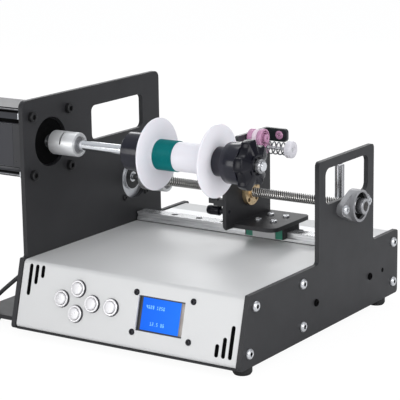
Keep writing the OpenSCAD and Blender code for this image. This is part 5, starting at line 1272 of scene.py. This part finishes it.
def make_star_knob():
    left, right = round_part("star_knob")[:2]
    rim_t, whole = STAR_RIM_T, right - left
    # A lobe points almost straight up; along X the local angle zero lies at -Z
    start = TURN / 2 - TURN / STAR_LOBES / 2 + STAR_TURN

    def rim(shrink, share=1.0):
        return lambda angle: share * star_radius(angle - start, shrink)

    bore = 4.08
    rings = [(bore, 0), (STAR_R * 0.55, 0), (rim(0.9), 0), (rim(0.3), 0.2), (rim(0.0), 0.8),
             (rim(0.0), rim_t - 0.7), (rim(0.2), rim_t - 0.25), (rim(0.7), rim_t),
             (rim(0.7, 0.80), rim_t + 1.1), (rim(0.7, 0.62), rim_t + 1.9), (9.2, whole - 0.25), (8.2, whole),
             (6.6, whole), (6.3, whole - 0.3), (6.3, whole - 1.2), (bore, whole - 1.2)]
    lathe("star_knob_body", rings, on_spindle(left), "knob_black", "star_knob", body="star_knob",
          segments=240, degrees=50)


def make_lock_nut():
    left, right = round_part("lock_nut")[:2]
    long, bore = right - left, SHAFT_BORE

    def notched(radius):
        return lambda angle: radius - 0.3 * max(0.0, math.cos(8 * angle)) ** 4

    rings = [(bore, 0), (5.3, 0), (notched(5.55), 0.3), (notched(5.55), long - 0.9),
             (notched(5.2), long - 0.25), (4.75, long), (4.45, long), (4.35, long - 0.35),
             (bore, long - 0.35)]
    lathe("lock_nut_body", rings, on_spindle(left), "nut_steel", "lock_nut", body="spindle", segments=96,
          degrees=25)


# Cable: the same points as the part's route, in millimetres of the part

CABLE_ROUTE = [
    (-73, 58, 108), (-73, 58, 98), (-73, 57, 86), (-73.5, 56, 74), (-74, 54, 62), (-75, 52, 50),
    (-75.5, 49.5, 38), (-75, 46.5, 27), (-72, 43.5, 17), (-66, 40.5, 10.5), (-58, 37, 8), (-50.5, 34.5, 9.5),
    (-43.5, 32.5, 14), (-36, 31.5, 20), (-28, 31.5, 26.5), (-20, 32, 33), (-12, 33, 39), (-4, 34, 42.5),
    (4, 35, 43.5), (12, 37, 42), (19.5, 40, 38), (26, 44, 32), (31, 48.5, 25.5), (35, 53, 19.8),
    (37.8, 57.8, 16), (39.2, 62.9, 14.2)]
CABLE_D = 3.5
CABLE_STEPS = 6


def smooth_route(points, steps):
    """Curve through the points, with this many steps between two of them."""
    made = []
    last = len(points) - 1
    for i in range(last):
        a, b, c, e = points[max(i - 1, 0)], points[i], points[i + 1], points[min(i + 2, last)]
        for s in range(steps):
            t = s / steps
            made.append(0.5 * (2 * b + (c - a) * t + (2 * a - 5 * b + 4 * c - e) * t * t
                               + (3 * b - a - 3 * c + e) * t ** 3))
    return made + [points[last]]


def make_cable():
    points = smooth_route([at(*p) for p in CABLE_ROUTE], CABLE_STEPS)
    cable = sweep("motor_cable_jacket", points, CABLE_D / 2 * MM, 16, "cable_black", "motor_cable")
    softened("cable_glands", "soft_black", 0.3)


# Rear and inside

def make_rear():
    softened("power_inlet", "plastic_black", 0.25, slot="inlet_black")
    softened("power_switch", "plastic_black", 0.4, segments=3, body="rocker", slot="inlet_black")


def make_inside():
    painted("control_board", "board_green")
    painted("motor_drivers", "oxide_black")


for make in (make_camera, make_cable, make_floor, make_world, make_lights, make_plates, make_covers,
             make_vent_slot_shade, make_feet, make_side_screws, make_bottom_screws, make_guide_post,
             make_buttons, make_display, make_main_motor, make_motor_screws, make_traverse_motor,
             make_bearing, make_rail, make_block, make_bracket, make_lead_nut, make_lead_screw,
             make_lead_coupling, make_tensioner, make_clamp_knob, make_spindle, make_bobbin,
             make_winding, make_star_knob, make_lock_nut, make_rear, make_inside):
    make()

bpy.context.scene.view_settings.view_transform = "Standard"
